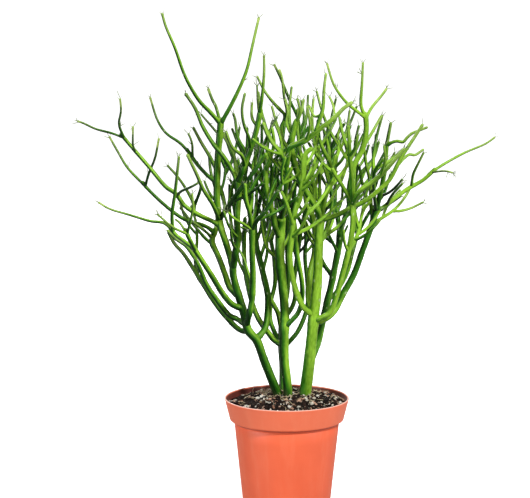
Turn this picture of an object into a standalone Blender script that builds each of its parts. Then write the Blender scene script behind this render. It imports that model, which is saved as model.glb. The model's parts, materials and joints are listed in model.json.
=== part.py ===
"""Potted pencil cactus: a clump of pencil-thick green stems in a plastic nursery pot of soil.

The origin is at the centre of the pot's flat base, +Z is up and the front faces -Y. Metres.
Every branch is drawn as it looks from the front, in millimetres across from the pot's axis and up
from the soil, and is given a depth: how far its tip lies behind the axis, or before it if negative.
"""

import math
import random
from dataclasses import dataclass

import bmesh
import bpy
import numpy as np
from mathutils import Matrix, Vector

MM = 0.001
TOUCHING_GAP = 0.3 * MM

# Pot
POT_HEIGHT = 114 * MM
RIM_RADIUS = 63 * MM
BAND_FOOT_RADIUS = 57.4 * MM
BAND_HEIGHT = 22.5 * MM
STEP_HEIGHT = 3.5 * MM
BODY_TOP_RADIUS = 53 * MM
BASE_RADIUS = 43.8 * MM
BASE_EDGE = 1.2 * MM
WALL = 1.6 * MM
LIP_ROUND = 0.5 * MM
FLOOR = 2.2 * MM
POT_SIDES = 42
DRAIN_COUNT = 6
DRAIN_RADIUS = 4.5 * MM
DRAIN_CIRCLE_RADIUS = 29 * MM
DRAIN_SIDES = 10
DRAIN_CUT_HEIGHT = 4 * FLOOR

# Soil
SOIL_EDGE_HEIGHT = POT_HEIGHT - 6.5 * MM
MOUND_HEIGHT = 8.5 * MM
MOUND_CENTRE = (6 * MM, 12 * MM)
MOUND_RADIUS = 62 * MM
CLOD_HEIGHT = 1.6 * MM
CLOD_WAVES = ((0.21, 0.13, 0.4), (-0.17, 0.28, 1.9), (0.34, -0.25, 3.1), (0.09, 0.41, 5.0))
WALL_BLEND = 0.12
SOIL_GAP = 0.4 * MM
SOIL_RINGS = 6
BAND_SLOPE = (RIM_RADIUS - BAND_FOOT_RADIUS) / BAND_HEIGHT
HOLE_DEPTH = 15 * MM
STEM_DEPTH = 13 * MM
HOLE_CLEARANCE = 0.6 * MM
HOLE_ABOVE = 12 * MM
HOLE_SIDES = 12

# Colours and shading
POT_COLOUR = (0.72, 0.22, 0.09)
SOIL_COLOUR = (0.035, 0.024, 0.018)
POT_ROUGHNESS = 0.42
SOIL_ROUGHNESS = 0.95
STEM_ROUGHNESS = 0.45
SHARP_ANGLE = math.radians(40)
STEM_COLOURS = {
    "left_stem": (0.05, 0.17, 0.03),
    "centre_stem": (0.06, 0.21, 0.03),
    "centre_back_stem": (0.03, 0.11, 0.02),
    "right_stem": (0.13, 0.32, 0.03),
    "right_back_stem": (0.03, 0.10, 0.02),
}

# The front view that the branches are drawn in
VIEW_DISTANCE = 2.0
VIEW_TILT = math.radians(8.25)
VIEW_CENTRE = np.array((-0.022, 0.0, 0.2653))
DRAWING_ORIGIN = np.array((0.022, -0.146))
VIEW_FORWARD = np.array((0.0, math.cos(VIEW_TILT), -math.sin(VIEW_TILT)))
VIEW_RIGHT = np.array((1.0, 0.0, 0.0))
VIEW_UP = np.array((0.0, math.sin(VIEW_TILT), math.cos(VIEW_TILT)))
VIEW_EYE = VIEW_CENTRE - VIEW_DISTANCE * VIEW_FORWARD

# Branches, in millimetres
SAMPLE_STEP = 6.0
CURVE_STEPS = 24
ROOT_INSET = 0.4
WELD_DISTANCE = 0.00001
ROUTE_TOLERANCE = 1.0 * MM
FACET_SHARE = 0.5
THIN_GIRTH = 5.1
GOLDEN_ANGLE = math.radians(137.5)
DEPTH_EASE = 1.8
FOOT_SWELLING = 1.12
TIP_SHARE = 0.55
CLEARANCE = 2.4
JUNCTION_LENGTH = 15.0
BEND_ROUNDS = 160
BEND_WIDTH = 14.0
BEND_STEP = 0.6

# Small shoots drawn by rule
SHOOT_SEED = 11
SHOOT_LENGTH = (20.0, 38.0)
SHOOT_PLACE = (0.1, 0.85)
LOWEST_SHOOT = 142.0
SHOOTS_ON_LIMB = 2
SHOOT_DEPTH = (0.5, 1.0)
LIMB_WITH_SHOOTS = 56.0
SHOOT_CURVE = ((0.0, 0.0), (0.17, 0.2), (0.32, 0.52), (0.42, 0.9))
SHOOT_TRIALS = 8
SHOOT_GIRTH = 3.4
SHOOT_TIP_GIRTH = 2.6
CROWN_CENTRE = np.array((15.0, 205.0))
CROWN_REACH = np.array((115.0, 85.0))
LEAFLET_LENGTH = (5.0, 8.0)
LEAFLET_FOOT_RADIUS = 0.55
LEAFLET_TIP_RADIUS = 0.44
LEAFLET_LEAN = 0.9
LEAFY_SHARE = 0.5


@dataclass
class Branch:
    """One pencil branch as drawn: diameters at its foot and tip, depth of its tip and its route."""

    foot: float
    tip: float
    away: float
    route: list
    shoots: tuple


def branch(foot, tip, away, route, *shoots):
    """Returns a branch with the shoots that grow from it."""
    return Branch(foot, tip, away, route, shoots)


LEFT_STEM = branch(
    9.4, 7, -8,
    [(-9, 1), (-15, 15), (-23, 35), (-30, 54), (-39, 65), (-44, 85), (-50, 105), (-54, 122), (-53, 133)],
    # the arm that leaves to the right of the first fork and climbs behind its neighbour
    branch(
        7, 5.5, 32,
        [(-29, 54), (-23, 65), (-20, 76), (-19, 95), (-21, 110), (-25, 126), (-31, 152), (-33, 177)],
        branch(4.5, 3.5, 36, [(-33, 173), (-40, 190), (-46, 210), (-49, 236)]),
        branch(4.5, 3.5, 14, [(-33, 174), (-28, 190), (-24, 208), (-22, 230), (-25, 247)]),
        branch(4, 3, 84, [(-28, 138), (-20, 158), (-16, 176), (-15, 198), (-18, 222)]),
    ),
    # low limbs to the far left
    branch(
        6, 4, 66,
        [(-38, 62), (-47, 65), (-58, 75), (-72, 92), (-86, 114), (-96, 130), (-104, 142), (-113, 152),
         (-119, 164)],
        branch(4, 3, 96, [(-90, 121), (-92, 136), (-90, 152), (-91, 172), (-96, 190)]),
    ),
    branch(
        6, 3.5, 0,
        [(-42, 71), (-50, 76), (-59, 81), (-72, 98), (-81, 112), (-90, 133), (-101, 149), (-110, 155),
         (-120, 165)],
    ),
    # the upright limb in front of the first fork
    branch(
        6.5, 6, -34,
        [(-40, 69), (-37, 84), (-35, 96), (-34, 118), (-35, 145), (-35, 171)],
        branch(3, 2.4, -2, [(-36, 108), (-41, 130), (-46, 142), (-52, 150), (-58, 156)]),
        branch(
            4.5, 3, -66,
            [(-35, 169), (-29, 176), (-23, 182), (-14, 196), (-7, 208), (1, 221), (5, 228)],
        ),
        branch(3.2, 2.4, -52, [(-35, 165), (-45, 172), (-52, 176), (-59, 183)]),
        branch(3, 2.4, -8, [(-35, 161), (-39, 164), (-46, 168)]),
        branch(4.5, 3.4, -50, [(-35, 170), (-38, 184), (-41, 197), (-42, 212)]),
    ),
    # the next limb up to the left, with the long level shoot
    branch(
        6.5, 5.5, -42,
        [(-45, 87), (-54, 90), (-64, 101), (-75, 119), (-84, 133), (-95, 150)],
        branch(
            4.5, 4, -24,
            [(-93, 147), (-103, 154), (-111, 160), (-117, 168)],
            branch(
                4, 2.6, 4,
                [(-115, 166), (-123, 172), (-137, 174), (-157, 180), (-177, 186), (-189, 193)],
            ),
            branch(4.5, 3, -40, [(-116, 166), (-115, 180), (-112, 202), (-110, 220), (-108, 239)]),
        ),
        branch(
            5, 4.5, -56,
            [(-94, 149), (-99, 159), (-102, 167)],
            branch(3.2, 2.4, -74, [(-102, 163), (-111, 166), (-117, 170), (-130, 181)]),
            branch(3.2, 2.4, -46, [(-102, 166), (-107, 172), (-112, 176)]),
            branch(3.2, 2.4, -76, [(-101, 164), (-97, 172), (-94, 188), (-95, 202)]),
        ),
    ),
    # the darker limb behind it
    branch(
        6.5, 6, 30,
        [(-49, 101), (-57, 107), (-61, 118), (-68, 137), (-75, 153), (-73, 160), (-71, 168)],
        branch(4, 3, 58, [(-74, 150), (-82, 157), (-94, 171), (-101, 180), (-107, 188)]),
        branch(3.6, 3, 14, [(-73, 156), (-82, 164), (-94, 173)]),
        branch(
            4.6, 3.8, 34,
            [(-72, 165), (-82, 169), (-101, 175), (-115, 184), (-129, 196), (-141, 208), (-145, 214)],
            branch(
                3.6, 2.8, 58,
                [(-143, 211), (-149, 216), (-160, 228), (-169, 243), (-178, 259)],
            ),
            branch(3.4, 2.6, 12, [(-144, 213), (-138, 222), (-132, 237), (-128, 257)]),
        ),
        branch(4.5, 3, 84, [(-72, 166), (-69, 182), (-70, 200), (-76, 222), (-78, 240)]),
    ),
    # the left arm of the upper fork, which carries the two tallest shoots
    branch(
        7, 7, -4,
        [(-54, 129), (-58, 142), (-62, 155), (-66, 167), (-69, 181)],
        branch(
            7, 7, -6,
            [(-69, 178), (-70, 195), (-70, 215), (-69, 240), (-67, 262), (-66, 277)],
            branch(
                5, 3.2, -26,
                [(-67, 273), (-76, 282), (-89, 296), (-102, 319), (-112, 347), (-121, 368), (-125, 382)],
            ),
            branch(4, 3.4, 14, [(-67, 274), (-71, 288), (-75, 296), (-79, 307)]),
            branch(
                5, 3.2, -40,
                [(-66, 274), (-57, 288), (-48, 306), (-40, 326), (-34, 352), (-28, 378)],
            ),
            branch(3, 2.4, 26, [(-67, 260), (-74, 267), (-81, 275), (-86, 281)]),
            branch(4.5, 3.4, 44, [(-70, 222), (-77, 238), (-86, 253), (-94, 268)]),
        ),
        branch(4.8, 3.4, -48, [(-69, 179), (-74, 190), (-84, 206), (-90, 220), (-100, 241)]),
        branch(
            5.2, 3.6, -56,
            [(-68, 176), (-59, 188), (-48, 204), (-40, 214), (-29, 229), (-20, 242)],
            branch(
                4.6, 4, 40,
                [(-60, 187), (-67, 207), (-80, 220), (-90, 231), (-101, 247)],
                branch(
                    3.8, 2.8, 66,
                    [(-98, 243), (-107, 252), (-121, 262), (-130, 276), (-137, 298)],
                ),
                branch(3, 2.4, 30, [(-94, 238), (-95, 252), (-99, 262)]),
            ),
        ),
        branch(
            5.2, 4.4, 8,
            [(-68, 170), (-75, 174), (-88, 180), (-102, 189), (-111, 201), (-122, 209), (-137, 227),
             (-157, 250), (-167, 262)],
            branch(3.4, 2.6, 22, [(-166, 260), (-176, 262), (-191, 266), (-204, 272), (-210, 274)]),
            branch(3.6, 2.6, -14, [(-166, 261), (-168, 271), (-166, 284), (-167, 297)]),
            branch(3, 2.4, -10, [(-150, 242), (-154, 250), (-154, 269)]),
            branch(3.4, 2.6, -24, [(-109, 198), (-104, 205), (-98, 207), (-89, 212)]),
            branch(
                4.4, 3.8, 34,
                [(-92, 181), (-93, 188), (-90, 196)],
                branch(3.6, 2.8, 52, [(-91, 193), (-101, 206), (-110, 219), (-120, 230)]),
                branch(3.8, 3, 14, [(-90, 194), (-87, 204), (-86, 213)]),
            ),
        ),
    ),
    # the right arm of the upper fork
    branch(
        7, 6.5, -26,
        [(-53, 129), (-51, 145), (-49, 157), (-50, 173), (-49, 197), (-49, 218)],
        branch(
            5.2, 4, -14,
            [(-49, 214), (-54, 223), (-64, 239), (-73, 250), (-84, 268), (-92, 287), (-102, 302)],
        ),
        branch(4.8, 3.8, 24, [(-50, 213), (-51, 228), (-55, 244), (-66, 264)]),
        branch(
            6, 5.5, -36,
            [(-49, 215), (-44, 226), (-40, 236), (-36, 248), (-31, 263), (-26, 287)],
            branch(4, 3, -54, [(-27, 283), (-25, 297), (-23, 320), (-23, 340)]),
            branch(3.6, 3, -16, [(-29, 268), (-35, 277), (-35, 293)]),
            branch(3, 2.2, -34, [(-27, 280), (-29, 290), (-30, 310)]),
            branch(3.4, 3, -60, [(-36, 246), (-38, 257), (-43, 270), (-45, 286), (-42, 302)]),
            branch(4, 3, -8, [(-39, 237), (-42, 244), (-49, 257), (-52, 276), (-54, 282)]),
            branch(4, 3, -64, [(-42, 231), (-45, 239), (-54, 247), (-58, 255), (-61, 264)]),
        ),
    ),
)

CENTRE_STEM = branch(
    9, 9.4, -6,
    [(1, 2), (0, 15), (-2, 30), (-3, 51), (-2, 75), (-3, 95), (-5, 115), (-7, 135), (-7, 155), (-6, 181)],
    branch(
        6, 4.5, 58,
        [(-3, 50), (-12, 54), (-20, 64), (-26, 72), (-32, 84), (-38, 104), (-42, 128), (-43, 152),
         (-42, 178)],
        branch(3.6, 2.8, 82, [(-41, 118), (-48, 134), (-51, 152), (-56, 168)]),
        branch(3.6, 2.8, 64, [(-43, 158), (-37, 176), (-35, 196), (-38, 214)]),
    ),
    branch(
        5.5, 4.5, 44,
        [(-3, 53), (-6, 68), (-9, 82), (-15, 93), (-20, 104), (-24, 118), (-25, 134)],
        branch(3.6, 2.8, 58, [(-24, 124), (-20, 142), (-21, 160), (-25, 178)]),
    ),
    branch(5.2, 4.5, -30, [(-2, 68), (7, 77), (12, 84), (15, 96), (15, 112), (12, 130), (9, 150), (8, 170)]),
    branch(3.8, 3, 12, [(-6, 128), (-11, 137), (-17, 143), (-22, 152), (-26, 174)]),
    branch(
        6, 5, -34,
        [(-7, 160), (-12, 168), (-14, 180), (-19, 200), (-21, 213), (-21, 230)],
        branch(3.6, 3, -10, [(-20, 206), (-27, 216), (-31, 228), (-32, 244)]),
        branch(4, 3, -52, [(-21, 224), (-16, 238), (-13, 252), (-15, 268)]),
    ),
    branch(
        5.4, 4, -64,
        [(-6, 178), (-3, 192), (-1, 208), (0, 227), (-5, 240), (-15, 253), (-21, 264), (-24, 273)],
        # the long bright shoot that sweeps right across the crown
        branch(
            6, 4.2, -86,
            [(-1, 231), (3, 247), (10, 251), (19, 255), (33, 266), (47, 277), (57, 287), (66, 293)],
            branch(
                4.4, 3, -84,
                [(29, 262), (32, 274), (36, 287), (37, 305), (39, 322)],
                branch(3, 2.4, -70, [(33, 278), (27, 279), (22, 290)]),
            ),
            branch(3.2, 2.6, -96, [(20, 256), (23, 270), (20, 289)]),
            branch(3, 2.4, -62, [(50, 279), (46, 290), (42, 299)]),
        ),
        branch(4, 3, -44, [(-1, 216), (-7, 226), (-12, 232), (-17, 239), (-21, 249)]),
    ),
    branch(
        4.4, 3.4, 10,
        [(-6, 172), (-2, 186), (3, 200), (3, 216), (-2, 232), (-4, 250), (-6, 267), (-2, 279), (-11, 289)],
        branch(3.8, 2.8, 18, [(-5, 284), (-15, 294), (-23, 305), (-30, 319)]),
        branch(3.6, 2.8, -6, [(-4, 273), (0, 283), (-3, 299), (-5, 317), (-8, 326)]),
    ),
)

CENTRE_BACK_STEM = branch(
    6, 5, 44,
    [(-5, 2), (-5, 15), (-5, 30), (-6, 48), (-6, 66), (-4, 84), (0, 102), (1, 125), (0, 155), (0, 180)],
    branch(
        5.2, 4, 86,
        [(-6, 52), (-12, 62), (-17, 76), (-16, 94), (-12, 112), (-13, 136), (-17, 160), (-20, 184)],
        branch(3.4, 2.6, 108, [(-13, 128), (-6, 144), (-3, 162), (-5, 184)]),
    ),
    branch(
        5, 4, 70,
        [(-5, 74), (4, 86), (8, 98), (7, 110), (9, 130), (12, 150), (15, 170), (20, 190)],
        branch(3.4, 2.6, 84, [(9, 134), (5, 152), (3, 170), (6, 190)]),
    ),
    branch(
        5, 4, 66,
        [(-6, 44), (3, 54), (11, 64), (18, 80), (21, 96), (20, 115), (18, 137), (19, 155), (20, 172)],
        branch(4, 3.2, 56, [(19, 160), (12, 176), (2, 192), (-6, 205), (-10, 220)]),
    ),
    branch(
        4.4, 3.6, 90,
        [(1, 164), (-4, 182), (-9, 200), (-12, 222), (-10, 244)],
        branch(3.4, 2.6, 110, [(-11, 208), (-19, 222), (-25, 244)]),
        branch(3.4, 2.6, 74, [(-12, 226), (-4, 240), (3, 258)]),
    ),
    branch(
        4.4, 3.6, 40,
        [(0, 172), (6, 188), (8, 208), (12, 228), (13, 250), (12, 268)],
        branch(3.8, 3, 24, [(13, 258), (11, 276), (3, 294), (-6, 316), (-13, 331)]),
        branch(3.2, 2.6, 52, [(12, 262), (17, 276), (14, 295)]),
    ),
)

RIGHT_STEM = branch(
    12.6, 8, -16,
    [(18, 3), (20, 15), (23, 40), (25, 60), (27, 82), (29, 95), (31, 125), (32, 155), (34, 181)],
    # the bright limb that curves up to the left
    branch(
        6, 5, -52,
        [(26, 80), (17, 87), (10, 102), (5, 120), (3, 139), (5, 161), (8, 183), (14, 199)],
        branch(3.8, 3, -66, [(6, 170), (2, 184), (-2, 196), (-6, 204)]),
        branch(
            5.6, 4.6, -66,
            [(12, 195), (16, 213), (17, 233), (19, 242), (26, 247)],
            branch(3.2, 2.6, -50, [(17, 229), (24, 238), (29, 250), (31, 262)]),
        ),
    ),
    branch(
        7, 5.5, 30,
        [(26, 79), (22, 95), (22, 110), (24, 127), (28, 145), (28, 165), (24, 184)],
        branch(4.4, 3.4, 58, [(24, 180), (25, 198), (30, 214), (36, 232)]),
        branch(4.4, 3.4, 34, [(25, 178), (19, 192), (18, 208), (22, 226)]),
    ),
    # the two nested limbs on the right
    branch(
        6, 5.6, -44,
        [(28, 76), (38, 79), (44, 84), (50, 101), (56, 123), (61, 142), (65, 163), (66, 180), (65, 197)],
        branch(3.8, 3, -6, [(61, 140), (67, 153), (72, 165), (76, 184), (84, 194)]),
        branch(
            5.6, 5.4, -48,
            [(65, 193), (64, 208), (66, 227), (75, 245), (79, 262), (79, 275), (78, 283)],
            branch(4, 3, -32, [(78, 279), (85, 288), (95, 300), (100, 307)]),
            branch(4.2, 2.8, -58, [(78, 280), (74, 290), (75, 311), (76, 333)]),
            branch(3.8, 2.6, -74, [(78, 277), (71, 283), (59, 293), (48, 308), (43, 321), (40, 332)]),
            branch(4, 3, -26, [(76, 248), (83, 259), (91, 273), (95, 280)]),
        ),
        branch(4.8, 3.6, -84, [(66, 191), (65, 212), (63, 238), (62, 256), (61, 270)]),
        branch(4.5, 3.4, -66, [(65, 193), (60, 201), (53, 213), (49, 219), (45, 227)]),
        branch(
            5.6, 3.4, -90,
            [(65, 190), (73, 204), (87, 214), (97, 223), (107, 234), (118, 247)],
            branch(3.2, 2.6, -104, [(96, 222), (98, 236), (97, 250)]),
        ),
    ),
    branch(
        7, 6.5, 22,
        [(27, 73), (36, 75), (47, 84), (56, 101), (67, 121), (75, 143), (83, 165), (91, 190)],
        branch(
            5.8, 3.6, 10,
            [(91, 186), (94, 205), (98, 227), (100, 251), (104, 273)],
            branch(4, 3, 2, [(100, 250), (108, 254), (116, 253), (124, 261), (141, 268)]),
            branch(3, 2.4, 26, [(98, 228), (104, 236), (108, 243)]),
        ),
        branch(
            5, 4.2, 32,
            [(90, 183), (97, 188), (108, 197), (122, 207), (136, 215), (149, 227)],
            branch(3.6, 2.6, 44, [(147, 225), (157, 231), (177, 242), (198, 251), (208, 258)]),
            branch(2.6, 2.2, 20, [(150, 227), (158, 224), (166, 222)]),
            branch(3.4, 2.6, 16, [(123, 208), (126, 220), (131, 231), (137, 243)]),
            branch(3.2, 2.6, -2, [(98, 189), (105, 200), (116, 212)]),
        ),
        branch(3.6, 2.8, 62, [(87, 174), (95, 177), (109, 187), (120, 201), (125, 212)]),
        branch(4, 3, 54, [(85, 170), (84, 190), (83, 212), (79, 232), (77, 248)]),
        branch(4, 3, -26, [(91, 187), (87, 205), (88, 224), (98, 237)]),
    ),
    # the crown of the right stem
    branch(
        6.5, 6, -50,
        [(34, 178), (29, 188), (17, 207), (10, 223), (6, 237), (4, 250), (7, 266), (11, 277)],
        branch(3.6, 2.8, -58, [(10, 273), (13, 284), (10, 297)]),
        branch(3.2, 2.6, -36, [(9, 271), (14, 282), (17, 296)]),
        branch(3.4, 2.8, -34, [(5, 257), (0, 270), (1, 284), (-2, 296)]),
    ),
    branch(
        5.4, 3.6, -44,
        [(34, 177), (48, 179), (62, 186), (78, 194), (92, 205), (103, 216), (114, 237), (125, 254),
         (136, 271)],
        branch(3.4, 2.8, -30, [(112, 232), (121, 240), (128, 240), (137, 246)]),
    ),
    branch(
        5.6, 4.4, -34,
        [(34, 178), (38, 198), (44, 211), (47, 223), (49, 240)],
        branch(4.4, 3.4, -56, [(46, 218), (43, 231), (36, 246), (32, 257)]),
        branch(3.8, 3, -8, [(42, 208), (37, 229), (32, 238), (26, 253)]),
        branch(3.4, 2.8, -12, [(48, 232), (52, 246), (51, 260), (55, 272)]),
    ),
    branch(4.2, 3.4, 14, [(35, 176), (33, 192), (27, 200), (21, 214), (20, 234)]),
)

RIGHT_BACK_STEM = branch(
    8, 6.5, 62,
    [(18, 8), (20, 23), (26, 40), (31, 53), (35, 71), (39, 88), (44, 109), (49, 134), (52, 150), (53, 166)],
    branch(3.6, 2.8, 40, [(49, 142), (43, 158), (40, 165), (41, 180)]),
    branch(2.8, 2.4, 84, [(52, 153), (56, 160), (61, 170)]),
    branch(
        5.4, 4.6, 88,
        [(53, 162), (50, 182), (44, 204), (40, 222)],
        branch(4, 3.2, 108, [(41, 218), (34, 236), (30, 256), (31, 276)]),
        branch(4, 3.2, 66, [(40, 219), (42, 238), (48, 256), (58, 272)]),
        branch(3.6, 3, 112, [(46, 198), (54, 214), (60, 232), (62, 250)]),
    ),
    branch(
        5.4, 4.6, 78,
        [(53, 163), (58, 178), (64, 196), (68, 214)],
        branch(4, 3.2, 96, [(66, 206), (74, 222), (86, 236), (92, 254)]),
        branch(3.8, 3, 62, [(68, 211), (70, 230), (68, 250), (72, 270)]),
    ),
    branch(
        5, 4, 102,
        [(44, 116), (36, 132), (30, 150), (26, 172), (22, 192)],
        branch(4, 3, 118, [(23, 186), (26, 208), (22, 230), (16, 250)]),
        branch(3.8, 3, 92, [(27, 166), (38, 184), (46, 200), (50, 220)]),
    ),
    branch(
        4.8, 4, 112,
        [(39, 94), (50, 104), (60, 122), (66, 144), (72, 166)],
        branch(3.8, 3, 126, [(70, 158), (66, 180), (66, 204)]),
        branch(3.8, 3, 104, [(71, 162), (82, 182), (96, 200), (104, 222)]),
    ),
)

STEMS = {
    "left_stem": (LEFT_STEM, 8.0),
    "centre_stem": (CENTRE_STEM, 2.0),
    "centre_back_stem": (CENTRE_BACK_STEM, 23.0),
    "right_stem": (RIGHT_STEM, 6.0),
    "right_back_stem": (RIGHT_BACK_STEM, 24.0),
}


class Limb:
    """One branch sampled at even steps: its places on the drawing, its depths and its radii."""

    def __init__(self, stem, drawn, parent, base_away=0.0):
        self.stem = stem
        self.drawn = drawn
        self.parent = parent
        self.root_index = 0
        route = [np.array(point, float) for point in drawn.route]
        if parent is not None:
            self.root_index = parent.nearest_sample(route[0])
            route[0] = parent.flat[self.root_index]
        self.flat = even_steps(route, SAMPLE_STEP)
        lengths = np.linalg.norm(np.diff(self.flat, axis=0), axis=1)
        self.along = np.concatenate(([0.0], np.cumsum(lengths)))
        self.share = self.along / self.along[-1]
        self.bend = np.zeros(len(self.flat))
        self.base_away = base_away
        self.radius = 0.5 * (drawn.foot + (drawn.tip - drawn.foot) * self.share)
        self.low = (self.flat - self.radius[:, None]).min(axis=0)
        self.high = (self.flat + self.radius[:, None]).max(axis=0)
        self.backward = np.zeros(len(self.flat))
        self.forward = np.zeros(len(self.flat))
        self.held = np.clip(self.along / JUNCTION_LENGTH, 0.0, 1.0)
        self.update_depth()

    def nearest_sample(self, point):
        """Returns the index of the sample nearest a point, a little short of the tip."""
        inside = self.along <= self.along[-1] - ROOT_INSET * self.drawn.tip
        distances = np.linalg.norm(self.flat - point, axis=1)
        distances[~inside] = np.inf
        return int(np.argmin(distances))

    def update_depth(self):
        """Sets the depth at each sample: from the root's depth, out fast at first, then level."""
        start = self.base_away if self.parent is None else self.parent.away[self.root_index]
        eased = 1.0 - (1.0 - self.share) ** DEPTH_EASE
        self.away = start + (self.drawn.away - start) * eased + self.bend

    def take_push(self):
        """Bends the limb smoothly by the pushes on its samples, and hands on what its root takes."""
        spread = np.exp(-(((self.along[:, None] - self.along[None, :]) / BEND_WIDTH) ** 2))
        backward = (spread * self.backward[None, :]).max(axis=1)
        forward = (spread * self.forward[None, :]).max(axis=1)
        self.bend += BEND_STEP * self.held * (backward - forward)
        if self.parent is not None:
            root = self.root_index
            taken = 1.0 - self.held
            self.parent.backward[root] = max(self.parent.backward[root], (taken * self.backward).max())
            self.parent.forward[root] = max(self.parent.forward[root], (taken * self.forward).max())


def even_steps(route, step):
    """Returns a smooth curve through a route's points, at even steps of about the given length."""
    points = np.array([2 * route[0] - route[1], *route, 2 * route[-1] - route[-2]])
    fine = []
    for before, start, end, after in zip(points, points[1:], points[2:], points[3:]):
        for t in np.linspace(0.0, 1.0, CURVE_STEPS, endpoint=False):
            fine.append(
                0.5 * (2 * start + (end - before) * t + (2 * before - 5 * start + 4 * end - after) * t**2
                       + (3 * start - before - 3 * end + after) * t**3)
            )
    fine = np.array([*fine, points[-2]])
    along = np.concatenate(([0.0], np.cumsum(np.linalg.norm(np.diff(fine, axis=0), axis=1))))
    count = max(3, round(along[-1] / step) + 1)
    even = np.linspace(0.0, along[-1], count)
    return np.stack([np.interp(even, along, fine[:, axis]) for axis in range(2)], axis=1)


def grow(stem, drawn, parent=None, base_away=0.0):
    """Returns the limbs of a branch and of all the shoots on it, each after its parent."""
    limb = Limb(stem, drawn, parent, base_away)
    limbs = [limb]
    for shoot in drawn.shoots:
        limbs.extend(grow(stem, shoot, limb))
    return limbs


def place(flat, away):
    """Turns places on the drawing and their depths, in millimetres, into points in space."""
    on_view = flat * MM + DRAWING_ORIGIN
    rays = (
        VIEW_FORWARD
        + np.outer(on_view[:, 0] / VIEW_DISTANCE, VIEW_RIGHT)
        + np.outer(on_view[:, 1] / VIEW_DISTANCE, VIEW_UP)
    )
    reach = (away * MM - VIEW_EYE[1]) / rays[:, 1]
    return VIEW_EYE + rays * reach[:, None]


def path_to_root(limb):
    """Returns each ancestor with where the limb's wood joins it, and the wood between."""
    path = [(limb, None, 0.0)]
    between = 0.0
    while limb.parent is not None:
        joint = limb.parent.along[limb.root_index]
        path.append((limb.parent, joint, between))
        between += joint
        limb = limb.parent
    return path


def wood_between(one, other):
    """Returns the length of wood between every sample of one limb and every sample of another."""
    for ancestor, one_joint, one_between in path_to_root(one):
        for candidate, other_joint, other_between in path_to_root(other):
            if candidate is ancestor:
                one_place, one_way = reach_along(one, one_joint, one_between)
                other_place, other_way = reach_along(other, other_joint, other_between)
                apart = np.abs(one_place[:, None] - other_place[None, :])
                return apart + one_way[:, None] + other_way[None, :]
    return np.full((len(one.along), len(other.along)), np.inf)


def reach_along(limb, joint, between):
    """Returns each sample's place along an ancestor and its way to it."""
    if joint is None:
        return limb.along, np.zeros(len(limb.along))
    return np.full(len(limb.along), joint), limb.along + between


def crossing(one, other):
    """Returns where two limbs cross on the drawing and the depth between them that it takes."""
    if np.any(one.low - other.high > CLEARANCE) or np.any(other.low - one.high > CLEARANCE):
        return None
    apart = np.linalg.norm(one.flat[:, None] - other.flat[None, :], axis=2)
    needed = one.radius[:, None] + other.radius[None, :] + CLEARANCE
    near = (apart < needed) & (wood_between(one, other) > JUNCTION_LENGTH)
    if not near.any():
        return None
    rows, columns = np.nonzero(near)
    return rows, columns, np.sqrt(needed[near] ** 2 - apart[near] ** 2)


def find_crossings(limbs):
    """Returns the pairs of limbs that cross on the drawing, and which of each two lies behind."""
    crossings = []
    for number, one in enumerate(limbs):
        for other in limbs[:number]:
            found = crossing(one, other)
            if found:
                rows, columns, depth = found
                order = np.sign(np.sum(one.away[rows] - other.away[columns])) or 1.0
                crossings.append((one, other, rows, columns, depth, order))
    return crossings


def bend_clear(limbs):
    """Bends limbs in depth only, so that those that cross on the drawing pass clear of each other."""
    for limb in limbs:
        limb.update_depth()
    crossings = find_crossings(limbs)
    for _ in range(BEND_ROUNDS):
        for limb in limbs:
            limb.backward = np.zeros(len(limb.along))
            limb.forward = np.zeros(len(limb.along))
        for one, other, rows, columns, depth, order in crossings:
            short = depth - order * (one.away[rows] - other.away[columns])
            push = 0.5 * np.maximum(short, 0.0)
            if order > 0:
                one_push, other_push = one.backward, other.forward
            else:
                one_push, other_push = one.forward, other.backward
            np.maximum.at(one_push, rows, push)
            np.maximum.at(other_push, columns, push)
        for limb in reversed(limbs):
            limb.take_push()
        for limb in limbs:
            limb.update_depth()


def shoot_on(limb, chance):
    """Returns a short side shoot that leaves a limb at a place and on a side drawn by chance."""
    index = int(chance.uniform(*SHOOT_PLACE) * (len(limb.flat) - 1))
    foot = limb.flat[index]
    heading = limb.flat[index + 1] - foot
    heading = heading / np.linalg.norm(heading)
    outward = chance.choice((-1.0, 1.0)) * np.array((heading[1], -heading[0]))
    length = chance.uniform(*SHOOT_LENGTH)
    route = [foot + length * (side * outward + rise * heading) for side, rise in SHOOT_CURVE]
    away = limb.away[index] + chance.choice((-1.0, 1.0)) * chance.uniform(*SHOOT_DEPTH) * length
    return Limb(limb.stem, branch(SHOOT_GIRTH, SHOOT_TIP_GIRTH, away, route), limb)


def passes_clear(limb, others):
    """Says whether a limb stays clear of all the others as they lie now."""
    for other in others:
        found = crossing(limb, other)
        if found:
            rows, columns, depth = found
            if np.any(np.abs(limb.away[rows] - other.away[columns]) < depth):
                return False
    return True


def small_shoots(limbs, chance):
    """Returns short side shoots for the inner limbs, which make the crown as full as it is deep."""
    added = []
    for limb in limbs:
        inner = np.linalg.norm((limb.flat[-1] - CROWN_CENTRE) / CROWN_REACH) < 1.0
        if not inner or limb.along[-1] < LIMB_WITH_SHOOTS:
            continue
        trials = (shoot_on(limb, chance) for _ in range(SHOOT_TRIALS))
        room = SHOOTS_ON_LIMB
        for shoot in trials:
            if room and shoot.flat[0][1] > LOWEST_SHOOT and passes_clear(shoot, [*limbs, *added]):
                added.append(shoot)
                room -= 1
    return added


def grow_all():
    """Returns every limb of every stem, bent clear of the others."""
    limbs = []
    for stem, (drawn, base_away) in STEMS.items():
        limbs.extend(grow(stem, drawn, base_away=base_away))
    bend_clear(limbs)
    limbs.extend(small_shoots(limbs, random.Random(SHOOT_SEED)))
    return limbs


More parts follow.
